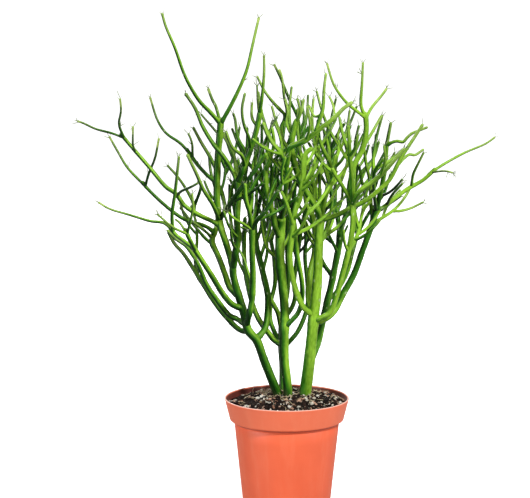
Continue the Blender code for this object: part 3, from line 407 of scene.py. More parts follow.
RIGHT_BACK_STEM = branch(
    8, 6.5, 62,
    [(18, 8), (20, 23), (26, 40), (31, 53), (35, 71), (39, 88), (44, 109), (49, 134), (52, 150), (53, 166)],
    branch(3.6, 2.8, 40, [(49, 142), (43, 158), (40, 165), (41, 180)]),
    branch(2.8, 2.4, 84, [(52, 153), (56, 160), (61, 170)]),
    branch(
        5.4, 4.6, 88,
        [(53, 162), (50, 182), (44, 204), (40, 222)],
        branch(4, 3.2, 108, [(41, 218), (34, 236), (30, 256), (31, 276)]),
        branch(4, 3.2, 66, [(40, 219), (42, 238), (48, 256), (58, 272)]),
        branch(3.6, 3, 112, [(46, 198), (54, 214), (60, 232), (62, 250)]),
    ),
    branch(
        5.4, 4.6, 78,
        [(53, 163), (58, 178), (64, 196), (68, 214)],
        branch(4, 3.2, 96, [(66, 206), (74, 222), (86, 236), (92, 254)]),
        branch(3.8, 3, 62, [(68, 211), (70, 230), (68, 250), (72, 270)]),
    ),
    branch(
        5, 4, 102,
        [(44, 116), (36, 132), (30, 150), (26, 172), (22, 192)],
        branch(4, 3, 118, [(23, 186), (26, 208), (22, 230), (16, 250)]),
        branch(3.8, 3, 92, [(27, 166), (38, 184), (46, 200), (50, 220)]),
    ),
    branch(
        4.8, 4, 112,
        [(39, 94), (50, 104), (60, 122), (66, 144), (72, 166)],
        branch(3.8, 3, 126, [(70, 158), (66, 180), (66, 204)]),
        branch(3.8, 3, 104, [(71, 162), (82, 182), (96, 200), (104, 222)]),
    ),
)

STEMS = {
    "left_stem": (LEFT_STEM, 8.0),
    "centre_stem": (CENTRE_STEM, 2.0),
    "centre_back_stem": (CENTRE_BACK_STEM, 23.0),
    "right_stem": (RIGHT_STEM, 6.0),
    "right_back_stem": (RIGHT_BACK_STEM, 24.0),
}


@dataclass(frozen=True)
class FrontView:
    """The view from the front that the branches are drawn in, which is the camera's view too."""

    distance: float = 2.0
    tilt: float = math.radians(8.25)
    centre: Place = (-0.022, 0.0, 0.2653)
    drawing_origin: Point = (0.022, -0.146)
    frame_pixels: int = 530
    sensor: float = 36.0

    @property
    def forward(self) -> np.ndarray:
        """The direction that the view looks in."""
        return np.array((0.0, math.cos(self.tilt), -math.sin(self.tilt)))

    @property
    def up(self) -> np.ndarray:
        """The direction that is up in the view."""
        return np.array((0.0, math.sin(self.tilt), math.cos(self.tilt)))

    @property
    def eye(self) -> np.ndarray:
        """The place that the view is seen from."""
        return np.array(self.centre) - self.distance * self.forward

    @property
    def lens(self) -> float:
        """The focal length that shows one millimetre at the view's centre as one pixel."""
        return self.sensor * self.distance / (self.frame_pixels * MM)

    def place(self, flat: np.ndarray, away: np.ndarray) -> np.ndarray:
        """Turns places on the drawing and their depths into points in space.

        Args:
            flat: places on the drawing, across and up, in millimetres, one a row.
            away: the depth of each place behind the pot's axis, in millimetres.

        Returns:
            The points in metres, one a row.
        """
        on_view = flat * MM + np.array(self.drawing_origin)
        rays = (
            self.forward
            + np.outer(on_view[:, 0] / self.distance, np.array((1.0, 0.0, 0.0)))
            + np.outer(on_view[:, 1] / self.distance, self.up)
        )
        reach = (away * MM - self.eye[1]) / rays[:, 1]
        return self.eye + rays * reach[:, None]


VIEW = FrontView()


@dataclass(frozen=True)
class Growth:
    """How limbs are sampled, and bent apart where they cross, in millimetres."""

    sample_step: float = 6.0
    curve_steps: int = 24
    root_inset: float = 0.4
    depth_ease: float = 1.8
    clearance: float = 2.4
    junction_length: float = 15.0
    bend_rounds: int = 160
    bend_width: float = 14.0
    bend_step: float = 0.6


@dataclass(frozen=True)
class ShootRule:
    """Where short side shoots grow on the inner limbs, and how long and thick they are."""

    seed: int = 11
    length: Point = (20.0, 38.0)
    place: Point = (0.1, 0.85)
    depth: Point = (0.5, 1.0)
    least_limb: float = 56.0
    lowest: float = 142.0
    on_limb: int = 2
    curve: tuple[Point, ...] = ((0.0, 0.0), (0.17, 0.2), (0.32, 0.52), (0.42, 0.9))
    trials: int = 8
    girth: float = 3.4
    tip_girth: float = 2.6
    crown_centre: Point = (15.0, 205.0)
    crown_reach: Point = (115.0, 85.0)
    # painted shade added to the shoots' tone
    shade: float = -0.1
    ways: Point = (-1.0, 1.0)
    reach_back: float = math.inf


GROWTH = Growth()
SHOOTS = ShootRule()
FILLING = ShootRule(
    seed=23,
    length=(32.0, 66.0),
    place=(0.1, 0.9),
    depth=(0.3, 0.95),
    least_limb=34.0,
    lowest=150.0,
    curve=((0.0, 0.0), (0.11, 0.22), (0.2, 0.58), (0.25, 0.97)),
    trials=9,
    girth=4.0,
    tip_girth=2.7,
    crown_centre=(16.0, 212.0),
    crown_reach=(88.0, 70.0),
    # painted shade: the filling shoots deep in the crown are darker
    shade=-0.6,
    ways=(1.0, 1.0),
    reach_back=118.0,
)


def smooth_between(points: np.ndarray, steps: int) -> np.ndarray:
    """Returns close points on a smooth curve through the given ones.

    Args:
        points: the points to pass through, one a row, with one more before the first and after the last.
        steps: how many points each stretch between two of them gets.

    Returns:
        The close points, one a row, with the last one at the end of the curve.
    """
    fine = []
    for before, start, end, after in zip(points, points[1:], points[2:], points[3:]):
        for t in np.linspace(0.0, 1.0, steps, endpoint=False):
            fine.append(
                0.5 * (2 * start + (end - before) * t + (2 * before - 5 * start + 4 * end - after) * t**2
                       + (3 * start - before - 3 * end + after) * t**3)
            )
    return np.array([*fine, points[-2]])


def extended(points: Sequence[np.ndarray]) -> np.ndarray:
    """Returns a line's points with one more before the first and after the last, straight on."""
    return np.array([2 * points[0] - points[1], *points, 2 * points[-1] - points[-2]])


def bell(places: np.ndarray, centre: float | np.ndarray, width: float) -> np.ndarray:
    """Returns a bell curve at each place: 1 at its centre, towards 0 beyond its width."""
    return np.exp(-(((places - centre) / width) ** 2))


def run_lengths(points: np.ndarray) -> np.ndarray:
    """Returns how far along a line each of its points lies."""
    return np.concatenate(([0.0], np.cumsum(np.linalg.norm(np.diff(points, axis=0), axis=1))))


def even_steps(route: Sequence[np.ndarray], step: float) -> np.ndarray:
    """Returns a smooth curve through a route's points, at even steps.

    Args:
        route: the points of the route.
        step: about how far apart the steps are.

    Returns:
        The points of the curve, one a row.
    """
    fine = smooth_between(extended(route), GROWTH.curve_steps)
    along = run_lengths(fine)
    even = np.linspace(0.0, along[-1], max(3, round(along[-1] / step) + 1))
    return np.stack([np.interp(even, along, fine[:, axis]) for axis in range(fine.shape[1])], axis=1)


class Limb:
    """One branch sampled at even steps: its places on the drawing, its depths and its radii."""

    def __init__(
        self, stem: str, drawn: Branch, parent: "Limb | None" = None, base_away: float = 0.0
    ) -> None:
        """Samples a branch.

        Args:
            stem: the name of the stem that it belongs to.
            drawn: the branch as drawn.
            parent: the limb that it grows from, if it isn't a stem's trunk.
            base_away: how far behind the pot's axis a trunk leaves the soil, in millimetres.
        """
        self.stem = stem
        self.drawn = drawn
        self.parent = parent
        self.root_index = 0
        # painted light and shade added to the limb's tone, for shoots and listed limbs
        self.shade = 0.0
        route = [np.array(point, float) for point in drawn.route]
        if parent is not None:
            self.root_index = parent.nearest_sample(route[0])
            route[0] = parent.flat[self.root_index]
        self.flat = even_steps(route, GROWTH.sample_step)
        self.along = run_lengths(self.flat)
        self.share = self.along / self.along[-1]
        self.bend = np.zeros(len(self.flat))
        self.base_away = base_away
        self.radius = drawn.radius_at(self.share)
        self.low = (self.flat - self.radius[:, None]).min(axis=0)
        self.high = (self.flat + self.radius[:, None]).max(axis=0)
        self.backward = np.zeros(len(self.flat))
        self.forward = np.zeros(len(self.flat))
        self.held = np.clip(self.along / GROWTH.junction_length, 0.0, 1.0)
        self.update_depth()

    def nearest_sample(self, point: np.ndarray) -> int:
        """Returns the index of the sample nearest a point, a little short of the tip.

        Args:
            point: a place on the drawing.

        Returns:
            The sample's index.
        """
        inside = self.along <= self.along[-1] - GROWTH.root_inset * self.drawn.tip
        distances = np.linalg.norm(self.flat - point, axis=1)
        distances[~inside] = np.inf
        return int(np.argmin(distances))

    def update_depth(self) -> None:
        """Sets the depth at each sample: from the root's depth, out fast at first, then level."""
        start = self.base_away if self.parent is None else self.parent.away[self.root_index]
        eased = 1.0 - (1.0 - self.share) ** GROWTH.depth_ease
        self.away = start + (self.drawn.away - start) * eased + self.bend

    def take_push(self) -> None:
        """Bends the limb smoothly by the pushes on its samples, and hands on what its root takes."""
        spread = bell(self.along[:, None], self.along[None, :], GROWTH.bend_width)
        backward = (spread * self.backward[None, :]).max(axis=1)
        forward = (spread * self.forward[None, :]).max(axis=1)
        self.bend += GROWTH.bend_step * self.held * (backward - forward)
        if self.parent is not None:
            root = self.root_index
            taken = 1.0 - self.held
            self.parent.backward[root] = max(self.parent.backward[root], (taken * self.backward).max())
            self.parent.forward[root] = max(self.parent.forward[root], (taken * self.forward).max())

    def path_to_root(self) -> list[tuple["Limb", float | None, float]]:
        """Returns each ancestor with where the limb's wood joins it, and the wood between."""
        path = [(self, None, 0.0)]
        limb, between = self, 0.0
        while limb.parent is not None:
            joint = limb.parent.along[limb.root_index]
            path.append((limb.parent, joint, between))
            between += joint
            limb = limb.parent
        return path

    def reach_along(self, joint: float | None, between: float) -> tuple[np.ndarray, np.ndarray]:
        """Returns each sample's place along an ancestor and its way to it.

        Args:
            joint: where this limb's wood joins the ancestor, or None for the limb itself.
            between: the length of wood between the limb and that joint.

        Returns:
            The places along the ancestor, and the lengths of wood on the way there.
        """
        if joint is None:
            return self.along, np.zeros(len(self.along))
        return np.full(len(self.along), joint), self.along + between

    def wood_to(self, other: "Limb") -> np.ndarray:
        """Returns the length of wood between every sample of this limb and every sample of another."""
        for ancestor, joint, between in self.path_to_root():
            for candidate, other_joint, other_between in other.path_to_root():
                if candidate is ancestor:
                    place, way = self.reach_along(joint, between)
                    other_place, other_way = other.reach_along(other_joint, other_between)
                    apart = np.abs(place[:, None] - other_place[None, :])
                    return apart + way[:, None] + other_way[None, :]
        return np.full((len(self.along), len(other.along)), np.inf)

    def crossing(self, other: "Limb") -> tuple[np.ndarray, np.ndarray, np.ndarray] | None:
        """Finds where this limb crosses another on the drawing.

        Args:
            other: the other limb.

        Returns:
            The samples of each that cross and the depth between them that it takes, or None.
        """
        if np.any(np.maximum(self.low - other.high, other.low - self.high) > GROWTH.clearance):
            return None
        apart = np.linalg.norm(self.flat[:, None] - other.flat[None, :], axis=2)
        needed = self.radius[:, None] + other.radius[None, :] + GROWTH.clearance
        near = (apart < needed) & (self.wood_to(other) > GROWTH.junction_length)
        if not near.any():
            return None
        rows, columns = np.nonzero(near)
        return rows, columns, np.sqrt(needed[near] ** 2 - apart[near] ** 2)

    def passes_clear(self, others: Iterable["Limb"]) -> bool:
        """Says whether the limb stays clear of all the others as they lie now."""
        for other in others:
            found = self.crossing(other)
            if found:
                rows, columns, depth = found
                if np.any(np.abs(self.away[rows] - other.away[columns]) < depth):
                    return False
        return True


class Skeleton:
    """Every limb of every stem, bent in depth to push apart those that cross on the drawing."""

    def __init__(self) -> None:
        """Grows the drawn limbs, bends them apart and adds the small side shoots."""
        self.limbs: list[Limb] = []
        for stem, (drawn, base_away) in STEMS.items():
            self.grow(stem, drawn, None, base_away)
        self.bend_clear()
        for rule in (SHOOTS, FILLING):
            self.limbs.extend(self.small_shoots(rule, random.Random(rule.seed)))

    def grow(self, stem: str, drawn: Branch, parent: Limb | None, base_away: float = 0.0) -> None:
        """Adds the limbs of a branch and of all the shoots on it, each after its parent.

        Args:
            stem: the name of the stem.
            drawn: the branch as drawn.
            parent: the limb that it grows from, if any.
            base_away: how far behind the pot's axis a trunk leaves the soil, in millimetres.
        """
        limb = Limb(stem, drawn, parent, base_away)
        self.limbs.append(limb)
        for shoot in drawn.shoots:
            self.grow(stem, shoot, limb)

    def crossings(self) -> list[tuple]:
        """Returns the pairs of limbs that cross on the drawing, and which of each two lies behind."""
        found_pairs = []
        for number, one in enumerate(self.limbs):
            for other in self.limbs[:number]:
                found = one.crossing(other)
                if found:
                    rows, columns, depth = found
                    order = np.sign(np.sum(one.away[rows] - other.away[columns])) or 1.0
                    found_pairs.append((one, other, rows, columns, depth, order))
        return found_pairs

    def bend_clear(self) -> None:
        """Bends limbs in depth only, in rounds that push apart those that cross on the drawing."""
        crossings = self.crossings()
        for _ in range(GROWTH.bend_rounds):
            for limb in self.limbs:
                limb.backward = np.zeros(len(limb.along))
                limb.forward = np.zeros(len(limb.along))
            for one, other, rows, columns, depth, order in crossings:
                short = depth - order * (one.away[rows] - other.away[columns])
                push = 0.5 * np.maximum(short, 0.0)
                if order > 0:
                    one_push, other_push = one.backward, other.forward
                else:
                    one_push, other_push = one.forward, other.backward
                np.maximum.at(one_push, rows, push)
                np.maximum.at(other_push, columns, push)
            for limb in reversed(self.limbs):
                limb.take_push()
            for limb in self.limbs:
                limb.update_depth()

    def shoot_on(self, limb: Limb, rule: ShootRule, chance: random.Random) -> Limb:
        """Returns a short side shoot that leaves a limb at a place and on a side drawn by chance.

        Args:
            limb: the limb that it grows on.
            rule: how such shoots grow.
            chance: the source of the random numbers.

        Returns:
            The shoot as a limb.
        """
        index = int(chance.uniform(*rule.place) * (len(limb.flat) - 1))
        foot = limb.flat[index]
        heading = limb.flat[index + 1] - foot
        heading = heading / np.linalg.norm(heading)
        outward = chance.choice((-1.0, 1.0)) * np.array((heading[1], -heading[0]))
        length = chance.uniform(*rule.length)
        route = [foot + length * (side * outward + rise * heading) for side, rise in rule.curve]
        away = limb.away[index] + chance.choice(rule.ways) * chance.uniform(*rule.depth) * length
        shoot = Limb(limb.stem, branch(rule.girth, rule.tip_girth, away, route), limb)
        shoot.shade = rule.shade
        return shoot

    def small_shoots(self, rule: ShootRule, chance: random.Random) -> list[Limb]:
        """Returns side shoots for the inner limbs, which make the crown as full as it is deep.

        Args:
            rule: how the shoots grow.
            chance: the source of the random numbers.

        Returns:
            The shoots, each clear of every other limb.
        """
        added: list[Limb] = []
        for limb in self.limbs:
            reach = (limb.flat[-1] - np.array(rule.crown_centre)) / np.array(rule.crown_reach)
            if np.linalg.norm(reach) >= 1.0 or limb.along[-1] < rule.least_limb:
                continue
            trials = (self.shoot_on(limb, rule, chance) for _ in range(rule.trials))
            room = rule.on_limb
            for shoot in trials:
                fits = shoot.flat[0][1] > rule.lowest and shoot.away[-1] < rule.reach_back
                if room and fits and shoot.passes_clear([*self.limbs, *added]):
                    added.append(shoot)
                    room -= 1
        return added

    def nearest(self, point: Point) -> tuple[Limb, int]:
        """Returns the limb that passes nearest a place on the drawing, and its sample there."""
        distance = {}
        for limb in self.limbs:
            apart = np.linalg.norm(limb.flat[1:] - np.array(point), axis=1)
            distance[limb] = (apart.min(), int(np.argmin(apart)) + 1)
        limb = min(self.limbs, key=lambda limb: distance[limb][0])
        return limb, distance[limb][1]

    def of_stem(self, stem: str) -> list[Limb]:
        """Returns the limbs of one stem, each after its parent."""
        return [limb for limb in self.limbs if limb.stem == stem]


class Graph:
    """A node tree while it is being wired: a material's, a shader group's or a geometry group's."""

    def __init__(self, tree: bpy.types.NodeTree) -> None:
        """Starts on a tree.

        Args:
            tree: the tree to add nodes to.
        """
        self.tree = tree

    def add(
        self, kind: str, feeds: dict[str | int, object] | None = None, **settings: object
    ) -> bpy.types.Node:
        """Adds a node.

        Args:
            kind: the node's type.
            feeds: for an input's name or number, the value it has or the socket that feeds it.
            settings: the node's own options.

        Returns:
            The node.
        """
        node = self.tree.nodes.new(kind)
        for option, value in settings.items():
            setattr(node, option, value)
        for key, value in (feeds or {}).items():
            self.feed(node.inputs[key], value)
        return node

    def feed(self, socket: bpy.types.NodeSocket, value: object) -> None:
        """Links a socket into another, or sets the other's own value.

        Args:
            socket: the input.
            value: an output socket, or a plain value.
        """
        if isinstance(value, bpy.types.NodeSocket):
            self.tree.links.new(value, socket)
        elif socket.type == "RGBA" and len(value) == 3:
            socket.default_value = (*value, 1.0)
        else:
            socket.default_value = value

    def math(self, operation: str, *values: object, clamp: bool = False) -> bpy.types.NodeSocket:
        """Returns the result of a Math node."""
        node = self.add("ShaderNodeMath", dict(enumerate(values)), operation=operation, use_clamp=clamp)
        return node.outputs[0]

    def vector_math(self, operation: str, *values: object) -> bpy.types.NodeSocket:
        """Returns the vector that a Vector Math node puts out."""
        return self.add("ShaderNodeVectorMath", dict(enumerate(values)), operation=operation).outputs[0]

    def between(self, value: object, low: float, high: float, new_low: float = 0.0, new_high: float = 1.0
                ) -> bpy.types.NodeSocket:
        """Returns a value taken smoothly from one range to another.

        Args:
            value: the socket to read.
            low: the value that gives new_low.
            high: the value that gives new_high.
            new_low: the result at low.
            new_high: the result at high.

        Returns:
            The output socket.
        """
        feeds = {"Value": value, "From Min": low, "From Max": high, "To Min": new_low, "To Max": new_high}
        return self.add("ShaderNodeMapRange", feeds, interpolation_type="SMOOTHSTEP").outputs[0]

    def mix(self, share: object, first: object, second: object, blend: str = "MIX") -> bpy.types.NodeSocket:
        """Returns a mix of two colours."""
        node = self.add("ShaderNodeMix", {0: share, 6: first, 7: second}, data_type="RGBA", blend_type=blend)
        return node.outputs[2]

    def marbled(self, share: float, colour: object, marks: object, tints: tuple[Colour, Colour]
                ) -> bpy.types.NodeSocket:
        """Returns a colour multiplied in part by marks that run from one tint to another."""
        return self.mix(share, colour, self.mix(marks, *tints), "MULTIPLY")

    def attribute(self, name: str, output: str = "Fac") -> bpy.types.NodeSocket:
        """Returns an attribute that a material reads by its name."""
        return self.add("ShaderNodeAttribute", attribute_name=name).outputs[output]

    def object_place(self) -> bpy.types.NodeSocket:
        """Returns the place on the object that a material reads."""
        return self.add("ShaderNodeTexCoord").outputs["Object"]

    def combine(self, **axes: object) -> bpy.types.NodeSocket:
        """Returns a vector put together from its X, Y and Z."""
        return self.add("ShaderNodeCombineXYZ", axes).outputs[0]

    def noise(
        self, place: object, scale: object, detail: float = 3.0, roughness: float = 0.5
    ) -> bpy.types.NodeSocket:
        """Returns a noise value from 0 to 1.

        Args:
            place: the coordinates to read.
            scale: how many features a metre has.
            detail: how many finer layers it has.
            roughness: how strong they are.

        Returns:
            The output socket.
        """
        feeds = {"Vector": place, "Scale": scale, "Detail": detail, "Roughness": roughness}
        return self.add("ShaderNodeTexNoise", feeds).outputs["Fac"]

    def bump(
        self, height: object, depth: float, strength: float = 1.0, normal: object = None
    ) -> bpy.types.NodeSocket:
        """Returns the normal of a relief.

        Args:
            height: the relief, from 0 to 1.
            depth: how deep it is, in metres.
            strength: how much of it shows.
            normal: the normal that it is laid on, if any.

        Returns:
            The output socket.
        """
        feeds = {"Height": height, "Distance": depth, "Strength": strength}
        if normal is not None:
            feeds["Normal"] = normal
        return self.add("ShaderNodeBump", feeds).outputs[0]


def shader_group(name: str, inputs: dict[str, tuple[str, float]], outputs: dict[str, str],
                 wire: Callable[[Graph, bpy.types.Node, bpy.types.Node], None]) -> bpy.types.NodeTree:
    """Builds a shader group once, and returns the same one after that.

    Args:
        name: the group's name.
        inputs: for each input's name, its socket type and its value, which a vector leaves at 0.
        outputs: for each output's name, its socket type.
        wire: fills the group between its input and output nodes.

    Returns:
        The group's tree.
    """
    tree = bpy.data.node_groups.get(name)
    if tree is None:
        tree = bpy.data.node_groups.new(name, "ShaderNodeTree")
        for label, (kind, value) in inputs.items():
            socket = tree.interface.new_socket(label, in_out="INPUT", socket_type=kind)
            if kind == "NodeSocketFloat":
                socket.default_value = value
        for label, kind in outputs.items():
            tree.interface.new_socket(label, in_out="OUTPUT", socket_type=kind)
        graph = Graph(tree)
        wire(graph, graph.add("NodeGroupInput"), graph.add("NodeGroupOutput"))
    return tree


def wire_mottle(graph: Graph, given: bpy.types.Node, result: bpy.types.Node) -> None:
    """Fills the group that makes broad patches and fine specks from one place.

    Args:
        graph: the group being wired.
        given: its input node.
        result: its output node.
    """
    kinds = (("Patches", "Patch Scale", 2.0, 0.32, 0.68), ("Specks", "Speck Scale", 4.0, 0.35, 0.65))
    for marks, scale, detail, low, high in kinds:
        value = graph.noise(given.outputs["Place"], given.outputs[scale], detail)
        graph.feed(result.inputs[marks], graph.between(value, low, high))


def mottle(graph: Graph, place: object, patch_scale: float, speck_scale: float) -> bpy.types.Node:
    """Adds the shared group of broad patches and fine specks to a material.

    Args:
        graph: the material being wired.
        place: the coordinates to read.
        patch_scale: how many patches a metre has.
        speck_scale: how many specks a metre has.

    Returns:
        The group's node, with the outputs Patches and Specks.
    """
    inputs = {"Place": ("NodeSocketVector", 0.0), "Patch Scale": ("NodeSocketFloat", 60.0),
              "Speck Scale": ("NodeSocketFloat", 900.0)}
    outputs = {"Patches": "NodeSocketFloat", "Specks": "NodeSocketFloat"}
    node = graph.add("ShaderNodeGroup")
    node.node_tree = shader_group("patches_and_specks", inputs, outputs, wire_mottle)
    for label, value in zip(inputs, (place, patch_scale, speck_scale)):
        graph.feed(node.inputs[label], value)
    return node


@dataclass(frozen=True)
class Finish:
    """What every finish has: its name and the values that are the same all over its surface."""

    name: str
    gloss_coat: float = 0.0
    coat_roughness: float = 0.2
    specular: float = 0.5
    specular_tint: Colour = (1.0, 1.0, 1.0)
    sheen: float = 0.0
    sheen_tint: Colour = (1.0, 0.6, 0.5)

    def material(self) -> bpy.types.Material:
        """Returns the finish as a material, built the first time that it is asked for."""
        made = bpy.data.materials.get(self.name)
        if made is None:
            made = bpy.data.materials.new(self.name)
            made.use_nodes = True
            surface = made.node_tree.nodes["Principled BSDF"]
            graph = Graph(made.node_tree)
            uniform = {
                "Coat Weight": self.gloss_coat,
                "Coat Roughness": self.coat_roughness,
                "Specular IOR Level": self.specular,
                "Specular Tint": self.specular_tint,
                "Sheen Weight": self.sheen,
                "Sheen Tint": self.sheen_tint,
            }
            for label, value in uniform.items():
                graph.feed(surface.inputs[label], value)
            self.wire(graph, surface)
        return made

    def wire(self, graph: Graph, surface: bpy.types.Node) -> None:
        """Wires the surface's colour, roughness and relief.

        Args:
            graph: the material being wired.
            surface: its Principled shader.
        """
        raise NotImplementedError


@dataclass(frozen=True)
class StemFinish(Finish):
    """Waxy green skin with painted light and shade: dark where the limb's tone carries painted shade,
    yellow-green on the sides that face a fixed painted light.
    """

    # the shaded, green and sunlit colours run from painted shade to painted light, by the skin's level
    shaded: Colour = (0.004, 0.034, 0.004)
    green: Colour = (0.03, 0.165, 0.007)
    painted_sunlit: Colour = (0.26, 0.51, 0.035)
    young_shade: Colour = (0.016, 0.05, 0.01)
    young: Colour = (0.3, 0.43, 0.11)
    tip: Colour = (0.42, 0.56, 0.14)
    # the fixed direction of the painted light: sides facing it are painted yellow-green, sides turned away
    # are painted dark
    painted_light_direction: Place = (0.62, -0.2, 0.66)
    painted_light_range: Point = (-0.48, 0.6)
    bark: Colour = (0.16, 0.13, 0.07)
    scar: Colour = (0.5, 0.56, 0.34)
    painted_light_edge: float = 0.7
    unevenness: float = 0.08
    youth_lift: float = 0.1
    mark_stretch: float = 0.16
    patch_scale: float = 170.0
    speck_scale: float = 1000.0
    patch_tints: tuple[Colour, Colour] = ((0.45, 0.5, 0.45), (1.35, 1.25, 1.35))
    speck_tints: tuple[Colour, Colour] = ((0.55, 0.6, 0.55), (1.4, 1.35, 1.4))
    dot_stretch: float = 0.45
    dot_scale: float = 150.0
    dot_edge: Point = (0.06, 0.14)
    dot_share: float = 0.7
    dot_depth: float = 0.00018
    bark_heights: Point = (0.108, 0.128)
    bark_share: float = 0.5
    rib_stretch: float = 0.05
    rib_scale: float = 1300.0
    rib_depth: float = 0.00022
    roughness: Point = (0.25, 0.4)

    def wire(self, graph: Graph, surface: bpy.types.Node) -> None:
        """Wires the skin from the attributes that each limb carries along and around itself.

        Args:
            graph: the material being wired.
            surface: its Principled shader.
        """
        skin = graph.attribute("skin_place", "Vector")
        youth = graph.attribute("youth")
        along, across, ribbed = (
            graph.vector_math("MULTIPLY", skin, (1.0, 1.0, stretch))
            for stretch in (self.mark_stretch, self.dot_stretch, self.rib_stretch)
        )
        marks = mottle(graph, along, self.patch_scale, self.speck_scale)
        patches, specks = marks.outputs["Patches"], marks.outputs["Specks"]
        level = self.level(graph, youth, patches)
        # painted light and shade: the level mixes the skin from the painted shaded green through green to the
        # painted sunlit yellow-green
        base = graph.mix(graph.between(level, 0.0, 0.5), self.shaded, self.green)
        base = graph.mix(graph.between(level, 0.42, 1.0), base, self.painted_sunlit)
        young = graph.mix(level, self.young_shade, self.young)
        base = graph.mix(graph.between(youth, 0.06, 0.6, 0.0, 0.6), base, young)
        base = graph.mix(graph.between(youth, 0.9, 1.0, 0.0, 0.65), base, self.tip)
        base = graph.marbled(0.5, base, patches, self.patch_tints)
        base = graph.marbled(0.4, base, specks, self.speck_tints)
        feeds = {"Vector": across, "Scale": self.dot_scale, "Randomness": 1.0}
        cells = graph.add("ShaderNodeTexVoronoi", feeds)
        dot = graph.between(cells.outputs["Distance"], *self.dot_edge, 1.0, 0.0)
        base = graph.mix(graph.math("MULTIPLY", dot, self.dot_share), base, self.scar)
        height = graph.add("ShaderNodeSeparateXYZ", {0: graph.object_place()}).outputs["Z"]
        low_down = graph.between(height, *self.bark_heights, self.bark_share, 0.0)
        corky = graph.math("MULTIPLY", low_down, patches)
        graph.feed(surface.inputs["Base Color"], graph.mix(corky, base, self.bark))
        graph.feed(surface.inputs["Roughness"], graph.between(specks, 0.0, 1.0, *self.roughness))
        ribs = graph.bump(graph.noise(ribbed, self.rib_scale, 2.0), self.rib_depth, 0.6)
        graph.feed(surface.inputs["Normal"], graph.bump(dot, self.dot_depth, 0.7, ribs))

    def level(self, graph: Graph, youth: object, patches: object) -> bpy.types.NodeSocket:
        """Returns how light the skin is painted, from the limb's tone, the painted light on the side that
        faces a fixed direction, youth and patches.

        Args:
            graph: the material being wired.
            youth: how young the skin is.
            patches: the broad patches.

        Returns:
            The output socket, from 0 to 1.
        """
        # painted light: the side of a limb that faces a fixed direction is painted lighter, the side turned
        # away darker
        normal = graph.add("ShaderNodeTexCoord").outputs["Normal"]
        facing_painted_light = graph.add("ShaderNodeVectorMath", {0: normal, 1: self.painted_light_direction}, operation="DOT_PRODUCT")
        painted_light = graph.between(facing_painted_light.outputs["Value"], -self.painted_light_edge, self.painted_light_edge, *self.painted_light_range)
        uneven = graph.between(patches, 0.0, 1.0, -self.unevenness, self.unevenness)
        level = graph.math("ADD", graph.math("ADD", graph.attribute("tone"), painted_light), uneven)
        return graph.math("ADD", level, graph.math("MULTIPLY", youth, self.youth_lift), clamp=True)


@dataclass(frozen=True)
class LeafletFinish(Finish):
    """Thin pale leaflets, greener at the foot."""

    foot: Colour = (0.13, 0.21, 0.07)
    tip: Colour = (0.32, 0.36, 0.2)
    patch_tints: tuple[Colour, Colour] = ((0.7, 0.75, 0.6), (1.2, 1.15, 1.2))

    def wire(self, graph: Graph, surface: bpy.types.Node) -> None:
        """Wires the leaflet's colour along its length.

        Args:
            graph: the material being wired.
            surface: its Principled shader.
        """
        marks = mottle(graph, graph.object_place(), 320.0, 2400.0)
        colour = graph.mix(graph.attribute("blade_length"), self.foot, self.tip)
        colour = graph.marbled(0.3, colour, marks.outputs["Patches"], self.patch_tints)
        graph.feed(surface.inputs["Base Color"], colour)
        graph.feed(surface.inputs["Roughness"], graph.between(marks.outputs["Specks"], 0.0, 1.0, 0.45, 0.6))


